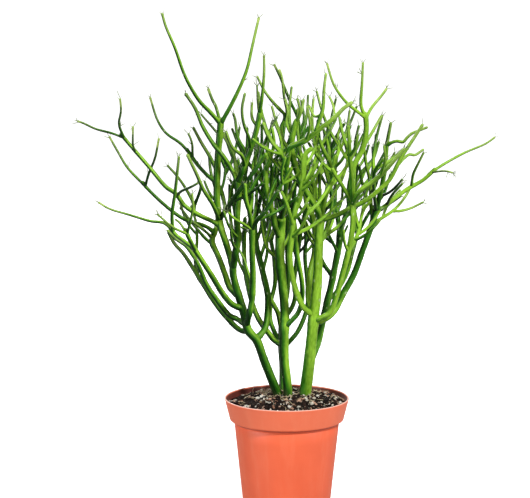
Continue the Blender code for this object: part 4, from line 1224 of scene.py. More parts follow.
@dataclass(frozen=True)
class PotFinish(Finish):
    """Moulded terracotta-coloured plastic: satin, with faint flow marks and scuffs, a painted highlight along
    the lip, and painted shade in the crease under the band and inside the band above the soil.
    """

    colour: Colour = (0.93, 0.15, 0.058)
    deep: Colour = (0.78, 0.11, 0.042)
    pale: Colour = (0.97, 0.32, 0.18)
    # the colour of the painted highlight along the lip
    lip: Colour = (0.98, 0.58, 0.47)
    # the colour of the painted shade inside the band, above the soil
    painted_inner_shade: Colour = (0.07, 0.009, 0.007)
    lip_height: float = 0.1131
    soil_line: float = 0.1129
    inner_radius: float = 0.0617
    band_foot: float = 0.0922
    band_paleness: float = 0.24
    # the colour of the painted shade in the crease under the band
    painted_crease_shade: Colour = (0.38, 0.032, 0.016)
    crease_height: float = 0.0908
    rim_height: float = 0.114
    band_slope: float = 0.249
    flow_stretch: float = 0.12
    scuff_stretch: float = 0.3

    def wire(self, graph: Graph, surface: bpy.types.Node) -> None:
        """Wires the plastic's colour by height, and its relief.

        Args:
            graph: the material being wired.
            surface: its Principled shader.
        """
        place = graph.object_place()
        height = graph.add("ShaderNodeSeparateXYZ", {0: place}).outputs["Z"]
        streaks, scratches, flat = (
            graph.vector_math("MULTIPLY", place, (1.0, 1.0, stretch))
            for stretch in (self.flow_stretch, self.scuff_stretch, 0.0)
        )
        marks = mottle(graph, place, 34.0, 1300.0)
        flow = graph.noise(streaks, 95.0, 4.0, 0.6)
        in_band = graph.between(height, self.band_foot - 0.2 * MM, self.band_foot + 0.2 * MM)
        # painted highlight: a pale line along the lip
        painted_lip_highlight = graph.between(height, self.lip_height, self.lip_height + 0.8 * MM, 0.0, 0.95)
        colour = graph.mix(graph.math("MULTIPLY", marks.outputs["Patches"], 0.28), self.colour, self.deep)
        colour = graph.mix(graph.between(flow, 0.42, 0.75, 0.0, 0.16), colour, self.pale)
        colour = graph.mix(graph.math("MULTIPLY", in_band, self.band_paleness), colour, self.pale)
        colour = graph.mix(painted_lip_highlight, colour, self.lip)
        # painted shade: the inside of the band above the soil is darkened almost to black
        inner_shade_share = self.painted_inner_shade_mask(graph, flat, height, in_band, flow)
        colour = graph.mix(inner_shade_share, colour, self.painted_inner_shade)
        # painted shade: a thin dark line in the crease under the band
        from_crease = graph.math("ABSOLUTE", graph.math("SUBTRACT", height, self.crease_height))
        painted_crease_shade = graph.between(from_crease, 0.2 * MM, 0.9 * MM, 0.85, 0.0)
        colour = graph.mix(painted_crease_shade, colour, self.painted_crease_shade)
        graph.feed(surface.inputs["Base Color"], colour)
        graph.feed(surface.inputs["Roughness"], graph.between(marks.outputs["Specks"], 0.0, 1.0, 0.42, 0.55))
        grain = graph.bump(graph.noise(scratches, 420.0, 5.0, 0.65), 0.06 * MM, 0.8)
        graph.feed(surface.inputs["Normal"], graph.bump(flow, 0.2 * MM, 0.4, grain))

    def painted_inner_shade_mask(self, graph: Graph, flat: object, height: object, in_band: object, flow: object
             ) -> bpy.types.NodeSocket:
        """Returns where painted shade darkens the inside of the band, under the lip.

        Args:
            graph: the material being wired.
            flat: the place on the pot, without its height.
            height: the height.
            in_band: whether that is in the rim band.
            flow: the flow marks, which thin the painted shade a little.

        Returns:
            The output socket, from 0 to 1.
        """
        radius = graph.add("ShaderNodeVectorMath", {0: flat}, operation="LENGTH").outputs["Value"]
        below_rim = graph.math("SUBTRACT", self.rim_height, height)
        wall = graph.math("ADD", radius, graph.math("MULTIPLY", below_rim, self.band_slope))
        inside = graph.between(wall, self.inner_radius, self.inner_radius + 0.5 * MM, 1.0, 0.0)
        below_lip = graph.between(height, self.soil_line - 0.6 * MM, self.soil_line + 0.3 * MM, 1.0, 0.0)
        inner_shade_share = graph.math("MULTIPLY", graph.math("MULTIPLY", inside, in_band), below_lip)
        return graph.math("MULTIPLY", inner_shade_share, graph.between(flow, 0.2, 0.6, 1.0, 0.93))


@dataclass(frozen=True)
class SoilFinish(Finish):
    """Damp dark peat between the loose grains."""

    dark: Colour = (0.006, 0.004, 0.003)
    light: Colour = (0.022, 0.012, 0.009)
    speck_tints: tuple[Colour, Colour] = ((0.35, 0.35, 0.35), (1.7, 1.6, 1.5))

    def wire(self, graph: Graph, surface: bpy.types.Node) -> None:
        """Wires the peat's colour and its crumbly relief.

        Args:
            graph: the material being wired.
            surface: its Principled shader.
        """
        place = graph.object_place()
        marks = mottle(graph, place, 240.0, 1700.0)
        clods = graph.noise(place, 520.0, 6.0, 0.62)
        colour = graph.mix(marks.outputs["Patches"], self.dark, self.light)
        colour = graph.marbled(0.6, colour, marks.outputs["Specks"], self.speck_tints)
        graph.feed(surface.inputs["Base Color"], colour)
        graph.feed(surface.inputs["Roughness"], graph.between(clods, 0.3, 0.7, 0.8, 0.98))
        graph.feed(surface.inputs["Normal"], graph.bump(clods, 0.0012))


@dataclass(frozen=True)
class GrainFinish(Finish):
    """Loose bits on the soil, each with a shade of its own between two colours."""

    dark: Colour = (0.006, 0.004, 0.003)
    light: Colour = (0.038, 0.018, 0.012)
    grit_scale: float = 1400.0
    relief: float = 0.0003
    speck_tints: tuple[Colour, Colour] = ((0.45, 0.45, 0.45), (1.35, 1.3, 1.25))

    def wire(self, graph: Graph, surface: bpy.types.Node) -> None:
        """Wires a shade for each grain, from its own number, and a gritty relief.

        Args:
            graph: the material being wired.
            surface: its Principled shader.
        """
        marks = mottle(graph, graph.object_place(), 0.3 * self.grit_scale, self.grit_scale)
        colour = graph.mix(graph.attribute("shade"), self.dark, self.light)
        colour = graph.marbled(0.5, colour, marks.outputs["Specks"], self.speck_tints)
        graph.feed(surface.inputs["Base Color"], colour)
        graph.feed(surface.inputs["Roughness"], graph.between(marks.outputs["Patches"], 0.0, 1.0, 0.72, 0.95))
        graph.feed(surface.inputs["Normal"], graph.bump(marks.outputs["Specks"], self.relief))


@dataclass(frozen=True)
class FloorFinish(Finish):
    """Plain white studio paper, faintly uneven."""

    white: Colour = (0.8, 0.8, 0.8)
    whiter: Colour = (0.84, 0.84, 0.84)
    grey: Colour = (0.3, 0.3, 0.3)
    glow: float = 0.88

    def wire(self, graph: Graph, surface: bpy.types.Node) -> None:
        """Wires the paper's white.

        Args:
            graph: the material being wired.
            surface: its Principled shader.
        """
        marks = mottle(graph, graph.object_place(), 3.0, 90.0)
        seen = graph.add("ShaderNodeLightPath").outputs["Is Camera Ray"]
        white = graph.mix(marks.outputs["Patches"], self.white, self.whiter)
        graph.feed(surface.inputs["Base Color"], graph.mix(seen, self.grey, white))
        surface.inputs["Roughness"].default_value = 0.9
        surface.inputs["Emission Color"].default_value = (1.0, 1.0, 1.0, 1.0)
        graph.feed(surface.inputs["Emission Strength"], graph.math("MULTIPLY", seen, self.glow))


STEM_SKIN = StemFinish("waxy_green_skin", specular=0.2, specular_tint=(0.85, 1.0, 0.6))
LEAFLET_SKIN = LeafletFinish("pale_leaflet", specular=0.3)
POT_PLASTIC = PotFinish(
    "moulded_terracotta_plastic", gloss_coat=0.08, coat_roughness=0.42, specular=0.4, sheen=0.12
)
PEAT = SoilFinish("damp_peat", specular=0.12)
PAPER = FloorFinish("white_studio_paper", specular=0.1)


class GrainKind(Enum):
    """The kinds of loose bits on the soil, each with its finish."""

    CRUMB = GrainFinish("peat_crumbs", specular=0.2)
    PERLITE = GrainFinish("perlite", specular=0.3, dark=(0.6, 0.55, 0.44), light=(0.96, 0.94, 0.86))
    CHIP = GrainFinish(
        "bark_chips", specular=0.25, dark=(0.22, 0.1, 0.055), light=(0.78, 0.5, 0.36), grit_scale=900.0
    )
    GRIT = GrainFinish("grey_grit", specular=0.3, dark=(0.16, 0.17, 0.11), light=(0.5, 0.5, 0.38))
    FIBRE = GrainFinish(
        "straw_fibres", specular=0.3, dark=(0.34, 0.24, 0.12), light=(0.85, 0.74, 0.5), relief=0.0001
    )


def placed(name: str, data: bpy.types.ID) -> bpy.types.Object:
    """Returns a new object with this data, put in the scene."""
    made = bpy.data.objects.new(name, data)
    bpy.context.scene.collection.objects.link(made)
    return made


def grown(
    name: str, base: bpy.types.Mesh, tree: bpy.types.NodeTree, values: dict[str, object]
) -> bpy.types.Object:
    """Runs a geometry tree on a mesh once and keeps the plain result.

    Args:
        name: the name of the piece.
        base: the mesh that the tree starts from.
        tree: the geometry tree.
        values: the value of each of its named inputs.

    Returns:
        The piece, at the origin, with no modifier left on it.
    """
    source = placed(name + "_source", base)
    modifier = source.modifiers.new("Grow", "NODES")
    modifier.node_group = tree
    for item in tree.interface.items_tree:
        if item.item_type == "SOCKET" and item.in_out == "INPUT" and item.name in values:
            modifier[item.identifier] = values[item.name]
    depsgraph = bpy.context.evaluated_depsgraph_get()
    evaluated = source.evaluated_get(depsgraph)
    mesh = bpy.data.meshes.new_from_object(evaluated, preserve_all_data_layers=True, depsgraph=depsgraph)
    mesh.name = name
    mesh.materials.clear()
    mesh.materials.append(values["Finish"])
    mesh.polygons.foreach_set("material_index", [0] * len(mesh.polygons))
    bpy.data.objects.remove(source)
    return placed(name, mesh)


def geometry_tree(name: str, inputs: dict[str, str]) -> tuple[Graph, bpy.types.Node, bpy.types.Node]:
    """Starts a geometry tree that takes a mesh and some named inputs and gives a mesh.

    Args:
        name: the tree's name.
        inputs: for each input's name, its kind of socket.

    Returns:
        The graph, its input node and its output node.
    """
    tree = bpy.data.node_groups.new(name, "GeometryNodeTree")
    tree.interface.new_socket("Geometry", in_out="INPUT", socket_type="NodeSocketGeometry")
    for label, kind in inputs.items():
        tree.interface.new_socket(label, in_out="INPUT", socket_type="NodeSocket" + kind)
    tree.interface.new_socket("Geometry", in_out="OUTPUT", socket_type="NodeSocketGeometry")
    graph = Graph(tree)
    return graph, graph.add("NodeGroupInput"), graph.add("NodeGroupOutput")


def named(graph: Graph, name: str, kind: str = "FLOAT") -> bpy.types.NodeSocket:
    """Returns an attribute read by its name in a geometry tree."""
    return graph.add("GeometryNodeInputNamedAttribute", {"Name": name}, data_type=kind).outputs[0]


def store(
    graph: Graph, geometry: object, name: str, value: object, kind: str = "FLOAT"
) -> bpy.types.NodeSocket:
    """Returns the geometry with an attribute stored at its points."""
    feeds = {"Geometry": geometry, "Name": name, "Value": value}
    return graph.add("GeometryNodeStoreNamedAttribute", feeds, data_type=kind, domain="POINT").outputs[0]


def random_value(
    graph: Graph, kind: str, low: object, high: object, seed: object, step: float = 0.0
) -> bpy.types.NodeSocket:
    """Returns a random value for each element in a geometry tree.

    Args:
        graph: the tree being wired.
        kind: FLOAT or FLOAT_VECTOR.
        low: the least value.
        high: the greatest value.
        seed: the seed that fixes the values.
        step: what is added to the seed, so that one tree can draw several kinds of value.

    Returns:
        The output socket.
    """
    first, output = {"FLOAT_VECTOR": (0, 0), "FLOAT": (2, 1)}[kind]
    feeds = {first: low, first + 1: high, "Seed": graph.math("ADD", seed, step) if step else seed}
    return graph.add("FunctionNodeRandomValue", feeds, data_type=kind).outputs[output]


def position(graph: Graph) -> bpy.types.NodeSocket:
    """Returns the position of each element in a geometry tree."""
    return graph.add("GeometryNodeInputPosition").outputs[0]


def circle(graph: Graph, sides: object, radius: object) -> bpy.types.NodeSocket:
    """Returns a circle, to sweep along a line."""
    feeds = {"Resolution": sides, "Radius": radius}
    return graph.add("GeometryNodeCurvePrimitiveCircle", feeds).outputs[0]


def bent_line(graph: Graph, steps: int, start: Place, middle: Place, end: Place) -> bpy.types.NodeSocket:
    """Returns a line bent one way."""
    feeds = {"Resolution": steps, "Start": start, "Middle": middle, "End": end}
    return graph.add("GeometryNodeCurveQuadraticBezier", feeds).outputs[0]


def swept(graph: Graph, line: object, outline: object, scale: object = 1.0) -> bpy.types.NodeSocket:
    """Returns the closed mesh that an outline leaves when it is swept along a line."""
    feeds = {"Curve": line, "Profile Curve": outline, "Scale": scale, "Fill Caps": True}
    return graph.add("GeometryNodeCurveToMesh", feeds).outputs[0]


def spun(graph: Graph, rotation: object, angles: object) -> bpy.types.NodeSocket:
    """Returns a rotation turned further about its own axes."""
    spin = graph.add("FunctionNodeEulerToRotation", {0: angles}).outputs[0]
    feeds = {"Rotation": rotation, "Rotate By": spin}
    return graph.add("FunctionNodeRotateRotation", feeds, rotation_space="LOCAL").outputs[0]


def kinds_of(graph: Graph, shapes: Iterable[bpy.types.NodeSocket]) -> bpy.types.NodeSocket:
    """Returns several shapes as one geometry that points can pick from."""
    kinds = graph.add("GeometryNodeJoinGeometry")
    for shape in shapes:
        graph.feed(kinds.inputs[0], graph.add("GeometryNodeGeometryToInstance", {0: shape}).outputs[0])
    return kinds.outputs[0]


def copies(
    graph: Graph, points: object, shape: object, rotation: object, scale: object, pick: bool = False
) -> bpy.types.NodeSocket:
    """Returns a copy of a shape at every point."""
    feeds = {"Points": points, "Instance": shape, "Pick Instance": pick, "Rotation": rotation, "Scale": scale}
    return graph.add("GeometryNodeInstanceOnPoints", feeds).outputs[0]


def finish_tree(
    graph: Graph, given: bpy.types.Node, result: bpy.types.Node, geometry: object, smooth: bool = True
) -> bpy.types.NodeTree:
    """Ends a geometry tree: realizes its instances, shades them and gives them their finish.

    Args:
        graph: the tree being wired.
        given: its input node, which has the input Finish.
        result: its output node.
        geometry: the geometry to finish.
        smooth: whether its faces are shaded smooth.

    Returns:
        The tree.
    """
    real = graph.add("GeometryNodeRealizeInstances", {"Geometry": geometry}).outputs[0]
    shaded = graph.add("GeometryNodeSetShadeSmooth", {"Geometry": real, "Shade Smooth": smooth}).outputs[0]
    feeds = {"Geometry": shaded, "Material": given.outputs["Finish"]}
    graph.feed(result.inputs[0], graph.add("GeometryNodeSetMaterial", feeds).outputs[0])
    return graph.tree


def tube_tree() -> bpy.types.NodeTree:
    """Returns the tree that makes centre lines into round closed limbs with their own coordinates."""
    inputs = {"Sides": "Int", "Finish": "Material"}
    graph, given, result = geometry_tree("round_limbs", inputs)
    line = graph.add("GeometryNodeMeshToCurve", {0: given.outputs["Geometry"]}).outputs[0]
    outline = circle(graph, given.outputs["Sides"], 1.0)
    outline = store(graph, outline, "side", position(graph), "FLOAT_VECTOR")
    limb = swept(graph, line, outline, named(graph, "girth"))
    side = named(graph, "side", "FLOAT_VECTOR")
    around = graph.vector_math("MULTIPLY", side, (SKIN_RADIUS, SKIN_RADIUS, 0.0))
    skin = graph.vector_math("ADD", around, graph.combine(Z=named(graph, "along")))
    return finish_tree(graph, given, result, store(graph, limb, "skin_place", skin, "FLOAT_VECTOR"))


def mesh_of_lines(
    name: str, lines: Sequence[np.ndarray], values: dict[str, Sequence[np.ndarray]]
) -> bpy.types.Mesh:
    """Returns a mesh of open lines, with a value at every point.

    Args:
        name: the mesh's name.
        lines: the points of each line, one a row.
        values: for each attribute's name, its values along each line.

    Returns:
        The mesh.
    """
    mesh = bpy.data.meshes.new(name)
    points = np.concatenate(lines)
    edges, start = [], 0
    for line in lines:
        edges.extend((start + k, start + k + 1) for k in range(len(line) - 1))
        start += len(line)
    mesh.from_pydata(points.tolist(), edges, [])
    for attribute, per_line in values.items():
        flat = np.concatenate(per_line).astype(np.float32)
        kind = "FLOAT_VECTOR" if flat.ndim == 2 else "FLOAT"
        layer = mesh.attributes.new(attribute, kind, "POINT")
        layer.data.foreach_set("vector" if flat.ndim == 2 else "value", flat.ravel())
    return mesh


@dataclass
class StemClump:
    """All the stems, each one piece of fine round limbs, and the leaflets at their growing tips."""

    ring_step: float = 2.0
    curve_steps: int = 8
    sides: int = 14
    foot_depth: float = 13.0
    collar_place: float = 1.25
    collar_swelling: float = 0.1
    collar_width: float = 2.6
    neck_place: float = 2.2
    neck_slimming: float = 0.06
    fork_swelling: float = 0.09
    fork_width: float = 0.8
    node_swelling: float = 0.05
    node_width: float = 1.3
    node_spacing: Point = (20.0, 46.0)
    node_to_tip: float = 4.0
    greatest_swelling: float = 1.18
    waviness: float = 0.02
    wave_lengths: Point = (9.0, 5.3)
    skin_shift: float = 5.0
    youth_reach: float = 22.0
    inner_youth: float = 0.15
    open_air: Point = (0.75, 1.35)
    tip_rounding: tuple[Point, ...] = ((1.0, 0.98), (0.62, 0.86), (0.3, 0.64), (0.1, 0.38))
    tip_extension: float = 0.2
    tip_end: float = 0.12
    tip_forks: float = 14.0
    # each stem's tone: partly its own green, partly painted light and shade, light on the front right stem
    # and dark on the two back stems
    tones: dict[str, float] = field(default_factory=lambda: {
        "left_stem": 0.14,
        "centre_stem": 0.36,
        "centre_back_stem": 0.04,
        "right_stem": 0.66,
        "right_back_stem": 0.04,
    })
    # painted shade deeper in the clump down to the inner depth, and painted light beyond it at the clump's
    # far back
    painted_depth_shade: float = -0.0042
    inner_depth: float = 62.0
    painted_back_light: float = 0.0045
    height_tone: float = 0.0003
    crown_foot: float = 120.0
    tone_spread: float = 0.23
    tone_reach: float = 16.0
    # painted shade on the trunks near the soil
    foot_shade: float = 0.34
    foot_reach: float = 13.0
    # listed limbs made lighter or darker: painted light and shade
    marked_limbs: tuple[tuple[Point, float], ...] = (
        ((75, 139), -0.5), ((57, 115), 0.1), ((9, 109), 0.2), ((16, 209), 0.35), ((32, 267), 0.3),
        ((90, 213), 0.2), ((-30, 250), 0.2), ((-24, 118), -0.3), ((-92, 287), -0.2), ((-21, 79), -0.2),
        ((-40, 326), 0.2), ((-23, 35), -0.18), ((-3, 30), 0.22), ((-29, 110), -0.1),
    )
    outer_slimming: float = 0.2
    slim_from: float = 0.6
    slim_rise: float = 60.0
    leaflet_seed: int = 29
    turn_seed: int = 7
    leafy_share: float = 0.86
    leaflets_per_tip: tuple[int, int] = (2, 4)
    leaflet_length: Point = (4.5, 9.0)
    leaflet_width: float = 1.25
    leaflet_lean: Point = (0.5, 1.3)
    leaflet_spin: Point = (-0.4, 0.4)
    leaflet_below_tip: Point = (0.2, 2.4)
    pair_leans: Point = (0.4, 1.4)
    pair_rise: Point = (0.5, 1.1)
    leafy_nodes: tuple[Point, ...] = (
        (-169, 300), (-163, 268), (-156, 264), (-145, 251), (-155, 230), (-145, 224), (-124, 181),
        (-103, 197), (-99, 252), (-84, 232), (-78, 272), (-59, 218), (-38, 314), (-31, 312), (53, 310),
        (65, 320), (71, 319), (116, 217), (160, 223), (165, 218),
    )

    def build(self) -> list[bpy.types.Object]:
        """Builds and dresses every stem and its leaflets.

        Returns:
            The pieces.
        """
        skeleton = Skeleton()
        for point, change in self.marked_limbs:
            skeleton.nearest(point)[0].shade += change
        tree = tube_tree()
        pieces = []
        for stem in STEMS:
            limbs = skeleton.of_stem(stem)
            piece = self.build_stem(stem, limbs, tree)
            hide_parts(stem)
            pieces.append(piece)
        pieces.append(self.build_leaflets(skeleton))
        for piece in pieces:
            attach(piece, "root")
        return pieces

    def build_stem(self, stem: str, limbs: list[Limb], tree: bpy.types.NodeTree) -> bpy.types.Object:
        """Builds one stem from its limbs.

        Args:
            stem: the stem's name.
            limbs: its limbs, each after its parent.
            tree: the geometry tree that makes round limbs.

        Returns:
            The stem as one piece.
        """
        chance = random.Random(stem)
        lines, girths, alongs, tones, youths = [], [], [], [], []
        known: dict[Limb, np.ndarray] = {}
        starts: dict[Limb | None, float] = {None: float(list(STEMS).index(stem))}
        for limb in limbs:
            places, along, radii = self.centre_line(limb, limbs, chance)
            known[limb] = self.tone(limb, known, chance)
            joint = 0.0 if limb.parent is None else limb.parent.along[limb.root_index]
            starts[limb] = starts[limb.parent] + (joint + chance.uniform(0.0, self.skin_shift)) * MM
            lines.append(places)
            girths.append(radii)
            alongs.append(along * MM + starts[limb])
            tones.append(np.clip(np.interp(along, limb.along, known[limb]), 0.0, 1.0))
            youths.append(self.youth(limb, along, limbs))
        values = {"girth": girths, "along": alongs, "tone": tones, "youth": youths}
        base = mesh_of_lines(stem, lines, values)
        return grown(stem + "_skin", base, tree, {"Sides": self.sides, "Finish": STEM_SKIN.material()})

    def centre_line(self, limb: Limb, limbs: list[Limb], chance: random.Random
                    ) -> tuple[np.ndarray, np.ndarray, np.ndarray]:
        """Works out a limb's centre line and its girth at every ring.

        Args:
            limb: the limb.
            limbs: all the limbs of its stem, among them the shoots that swell it where they leave.
            chance: the source of the random numbers.

        Returns:
            The points in metres, their places along the limb in millimetres, and the radii in metres.
        """
        fine = smooth_between(extended(VIEW.place(limb.flat, limb.away)), self.curve_steps)
        along = run_lengths(fine) / MM
        length = along[-1]
        if limb.parent is None:
            rise = fine[1] - fine[0]
            below = fine[0] - rise / np.linalg.norm(rise) * self.foot_depth * MM
            fine = np.concatenate(([below], fine))
            along = np.concatenate(([-self.foot_depth], along))
        end_radius = 0.5 * limb.drawn.tip
        rings = np.arange(along[0], length - end_radius, self.ring_step)
        tip = [length - share * end_radius for share, _ in self.tip_rounding]
        rings = np.concatenate((rings, tip, [length + self.tip_extension * end_radius]))
        places = np.stack([np.interp(rings, along, fine[:, axis]) for axis in range(3)], axis=1)
        heading = fine[-1] - fine[-2]
        places[-1] = fine[-1] + heading / np.linalg.norm(heading) * (rings[-1] - length) * MM
        radii = self.radii(limb, limbs, rings, length, chance)
        for number, (_, share) in enumerate(self.tip_rounding):
            radii[number - len(self.tip_rounding) - 1] = end_radius * share
        radii[-1] = self.tip_end * end_radius
        return places, rings, radii * MM

    def radii(self, limb: Limb, limbs: list[Limb], rings: np.ndarray, length: float, chance: random.Random
              ) -> np.ndarray:
        """Works out a limb's radius at each ring: its taper, its collar, its nodes and its forks.

        Args:
            limb: the limb.
            limbs: all the limbs of its stem.
            rings: where the rings lie along it, in millimetres.
            length: the limb's length in millimetres.
            chance: the source of the random numbers.

        Returns:
            The radii in millimetres.
        """
        radii = limb.drawn.radius_at(np.clip(rings / length, 0.0, 1.0))
        factor = np.ones(len(rings))
        if limb.parent is not None:
            collar = self.collar_place * limb.parent.radius[limb.root_index]
            factor += self.collar_swelling * bell(rings, collar, self.collar_width)
            neck = rings - collar - self.neck_place * self.collar_width
            factor -= self.neck_slimming * bell(neck, 0.0, self.collar_width)
        stretch = length / limb.along[-1]
        swelling = np.zeros(len(rings))
        for shoot in limbs:
            if shoot.parent is limb:
                joint = limb.along[shoot.root_index] * stretch
                swelling = np.maximum(swelling, bell(rings, joint, self.fork_width * limb.drawn.foot))
        factor += self.fork_swelling * swelling
        at = chance.uniform(*self.node_spacing)
        while at < length - self.node_to_tip:
            factor += self.node_swelling * bell(rings, at, self.node_width)
            at += chance.uniform(*self.node_spacing)
        phase = chance.uniform(0.0, math.tau)
        long, short = self.wave_lengths
        factor += self.waviness * np.sin(rings / long + phase) * np.sin(rings / short + 2 * phase)
        outward = np.interp(rings, limb.along * stretch, self.outwardness(limb))
        height = np.interp(rings, limb.along * stretch, limb.flat[:, 1])
        slimming = self.outer_slimming * np.clip(outward - self.slim_from, 0.0, 1.0)
        slimming *= np.clip((height - self.crown_foot) / self.slim_rise, 0.0, 1.0)
        return radii * np.minimum(factor, self.greatest_swelling) * (1.0 - slimming)

    def tone(self, limb: Limb, known: dict[Limb, np.ndarray], chance: random.Random) -> np.ndarray:
        """Returns how bright a green the limb is at each sample, by its stem, its depth and its height:
        painted shade deep in the clump and near the soil, painted light at the far back.

        Args:
            limb: the limb.
            known: the tones of the limbs that come before it, which its own runs on from.
            chance: the source of the random numbers.

        Returns:
            The tones, from about 0 to 1.
        """
        own = self.tones[limb.stem] + limb.shade + chance.uniform(-self.tone_spread, self.tone_spread)
        # painted shade: darker deeper in the clump, down to the inner depth; painted light: lighter again
        # beyond it, at the far back
        tone = own + self.painted_depth_shade * np.minimum(limb.away, self.inner_depth)
        tone += self.painted_back_light * np.maximum(limb.away - self.inner_depth, 0.0)
        # lighter higher up
        tone += self.height_tone * (limb.flat[:, 1] - self.crown_foot)
        # painted shade: a trunk is darker near the soil
        if limb.parent is None:
            return tone - self.foot_shade * np.exp(-limb.along / self.foot_reach)
        start = known[limb.parent][limb.root_index]
        return tone + (start - tone) * np.exp(-limb.along / self.tone_reach)

    def beyond(self, limb: Limb, limbs: list[Limb]) -> float:
        """Returns the length of wood that grows on past a limb's tip, in millimetres."""
        near_tip = [
            shoot for shoot in limbs
            if shoot.parent is limb and limb.along[-1] - limb.along[shoot.root_index] < self.tip_forks
        ]
        return max((shoot.along[-1] + self.beyond(shoot, limbs) for shoot in near_tip), default=0.0)

    def youth(self, limb: Limb, along: np.ndarray, limbs: list[Limb]) -> np.ndarray:
        """Returns how young the limb is at each ring: 1 at a growing tip, towards 0 in old wood.

        Args:
            limb: the limb.
            along: where the rings lie along it, in millimetres.
            limbs: all the limbs of its stem.

        Returns:
            The youth from 0 to 1.
        """
        to_tip = np.maximum(limb.along[-1] - along, 0.0) + self.beyond(limb, limbs)
        in_air = np.interp(self.outwardness(limb)[-1], self.open_air, (self.inner_youth, 1.0))
        return np.exp(-to_tip / self.youth_reach) * in_air

    def outwardness(self, limb: Limb) -> np.ndarray:
        """Returns how far out of the crown each sample of a limb lies: 0 at its middle, 1 at its edge."""
        from_centre = limb.flat - np.array(SHOOTS.crown_centre)
        return np.linalg.norm(from_centre / np.array(SHOOTS.crown_reach), axis=1)

    def build_leaflets(self, skeleton: Skeleton) -> bpy.types.Object:
        """Builds the whorls of tiny slim leaflets at the free tips, and the pairs at the leafy nodes.

        Args:
            skeleton: every limb.

        Returns:
            All the leaflets as one piece.
        """
        chance = random.Random(self.leaflet_seed)
        parents = {id(limb.parent) for limb in skeleton.limbs}
        feet, headings, sizes = [], [], []
        for limb in skeleton.limbs:
            ends_in_shoots = id(limb) in parents and self.beyond(limb, skeleton.of_stem(limb.stem)) > 0.0
            if ends_in_shoots or chance.random() > self.leafy_share:
                continue
            places = VIEW.place(limb.flat, limb.away)
            tip = Vector(places[-1])
            heading = (tip - Vector(places[-2])).normalized()
            sideways = heading.orthogonal().normalized()
            turn = chance.uniform(0.0, math.tau)
            count = chance.randint(*self.leaflets_per_tip)
            for number in range(count):
                around = turn + math.tau * number / count + chance.uniform(*self.leaflet_spin)
                spin = Matrix.Rotation(around, 3, heading)
                outward = (heading + chance.uniform(*self.leaflet_lean) * (spin @ sideways)).normalized()
                feet.append(tip - heading * chance.uniform(*self.leaflet_below_tip) * MM)
                headings.append(outward)
                sizes.append(chance.uniform(*self.leaflet_length) * MM)
        for node in self.leafy_nodes:
            limb, index = skeleton.nearest(node)
            outer = Vector(VIEW.place(np.array([node]), limb.away[[index]])[0])
            below, foot = (Vector(place) for place in VIEW.place(limb.flat, limb.away)[index - 1:index + 1])
            upward = (foot - below).normalized()
            for lean in self.pair_leans:
                towards = (outer - foot).normalized() * lean + upward * chance.uniform(*self.pair_rise)
                feet.append(foot)
                headings.append(towards.normalized())
                sizes.append(chance.uniform(*self.leaflet_length) * MM + limb.radius[index] * MM)
        carried = {"heading": [np.array(headings)], "size": [np.array(sizes)]}
        base = mesh_of_lines("leaflet_feet", [np.array(feet)], carried)
        values = {"Width": self.leaflet_width * MM, "Seed": self.turn_seed, "Finish": LEAFLET_SKIN.material()}
        return grown("leaflets", base, leaflet_tree(), values)


@dataclass(frozen=True)
class Blade:
    """The form of a leaflet before it is scaled: an arched blade of length 1."""

    steps: int = 6
    arch: Place = (0.12, 0.0, 0.55)
    sides: int = 6
    radius: float = 0.085
    thinness: float = 0.42
    foot_girth: float = 0.05
    tip_girth: float = 1.05
    tip_sharpness: float = 2.4
    width_scale: float = 5.9


BLADE = Blade()


def leaflet_tree() -> bpy.types.NodeTree:
    """Returns the tree that puts a slim curved blade at each point, along the point's heading."""
    inputs = {"Width": "Float", "Seed": "Int", "Finish": "Material"}
    graph, given, result = geometry_tree("leaflet_whorls", inputs)
    arch = bent_line(graph, BLADE.steps, (0.0, 0.0, 0.0), BLADE.arch, (0.0, 0.0, 1.0))
    share = graph.add("GeometryNodeSplineParameter").outputs["Factor"]
    arch = store(graph, arch, "blade_length", share)
    from_foot = graph.math("SQRT", graph.math("ADD", share, BLADE.foot_girth))
    to_tip = graph.math("SUBTRACT", BLADE.tip_girth, graph.math("POWER", share, BLADE.tip_sharpness))
    outline = {"Geometry": circle(graph, BLADE.sides, BLADE.radius), "Scale": (BLADE.thinness, 1.0, 1.0)}
    lens = graph.add("GeometryNodeTransform", outline).outputs[0]
    blade = swept(graph, arch, lens, graph.math("MULTIPLY", from_foot, to_tip))
    points = graph.add("GeometryNodeMeshToPoints", {"Mesh": given.outputs["Geometry"]}).outputs[0]
    heading = named(graph, "heading", "FLOAT_VECTOR")
    aligned = graph.add("FunctionNodeAlignRotationToVector", {"Vector": heading}, axis="Z").outputs[0]
    turn = graph.combine(Z=random_value(graph, "FLOAT", 0.0, math.tau, given.outputs["Seed"]))
    thickness = graph.math("MULTIPLY", given.outputs["Width"], BLADE.width_scale)
    scale = graph.combine(X=thickness, Y=thickness, Z=named(graph, "size"))
    return finish_tree(graph, given, result, copies(graph, points, blade, spun(graph, aligned, turn), scale))


def turned(name: str, profile: Sequence[Point], steps: int) -> bpy.types.Object:
    """Turns a profile about the pot's axis into a closed smooth piece.

    Args:
        name: the piece's name.
        profile: radius and height at each point, down the outer side.
        steps: how many steps a full turn takes.

    Returns:
        The piece.
    """
    mesh = bpy.data.meshes.new(name)
    shape = bmesh.new()
    corners = [shape.verts.new((radius, 0.0, height)) for radius, height in profile]
    edges = [shape.edges.new((start, end)) for start, end in zip(corners, corners[1:])]
    bmesh.ops.spin(shape, geom=[*corners, *edges], cent=(0.0, 0.0, 0.0), axis=(0.0, 0.0, 1.0),
                   angle=math.tau, steps=steps)
    bmesh.ops.remove_doubles(shape, verts=shape.verts, dist=0.00001)
    bmesh.ops.recalc_face_normals(shape, faces=shape.faces)
    shape.to_mesh(mesh)
    shape.free()
    mesh.shade_smooth()
    return placed(name, mesh)


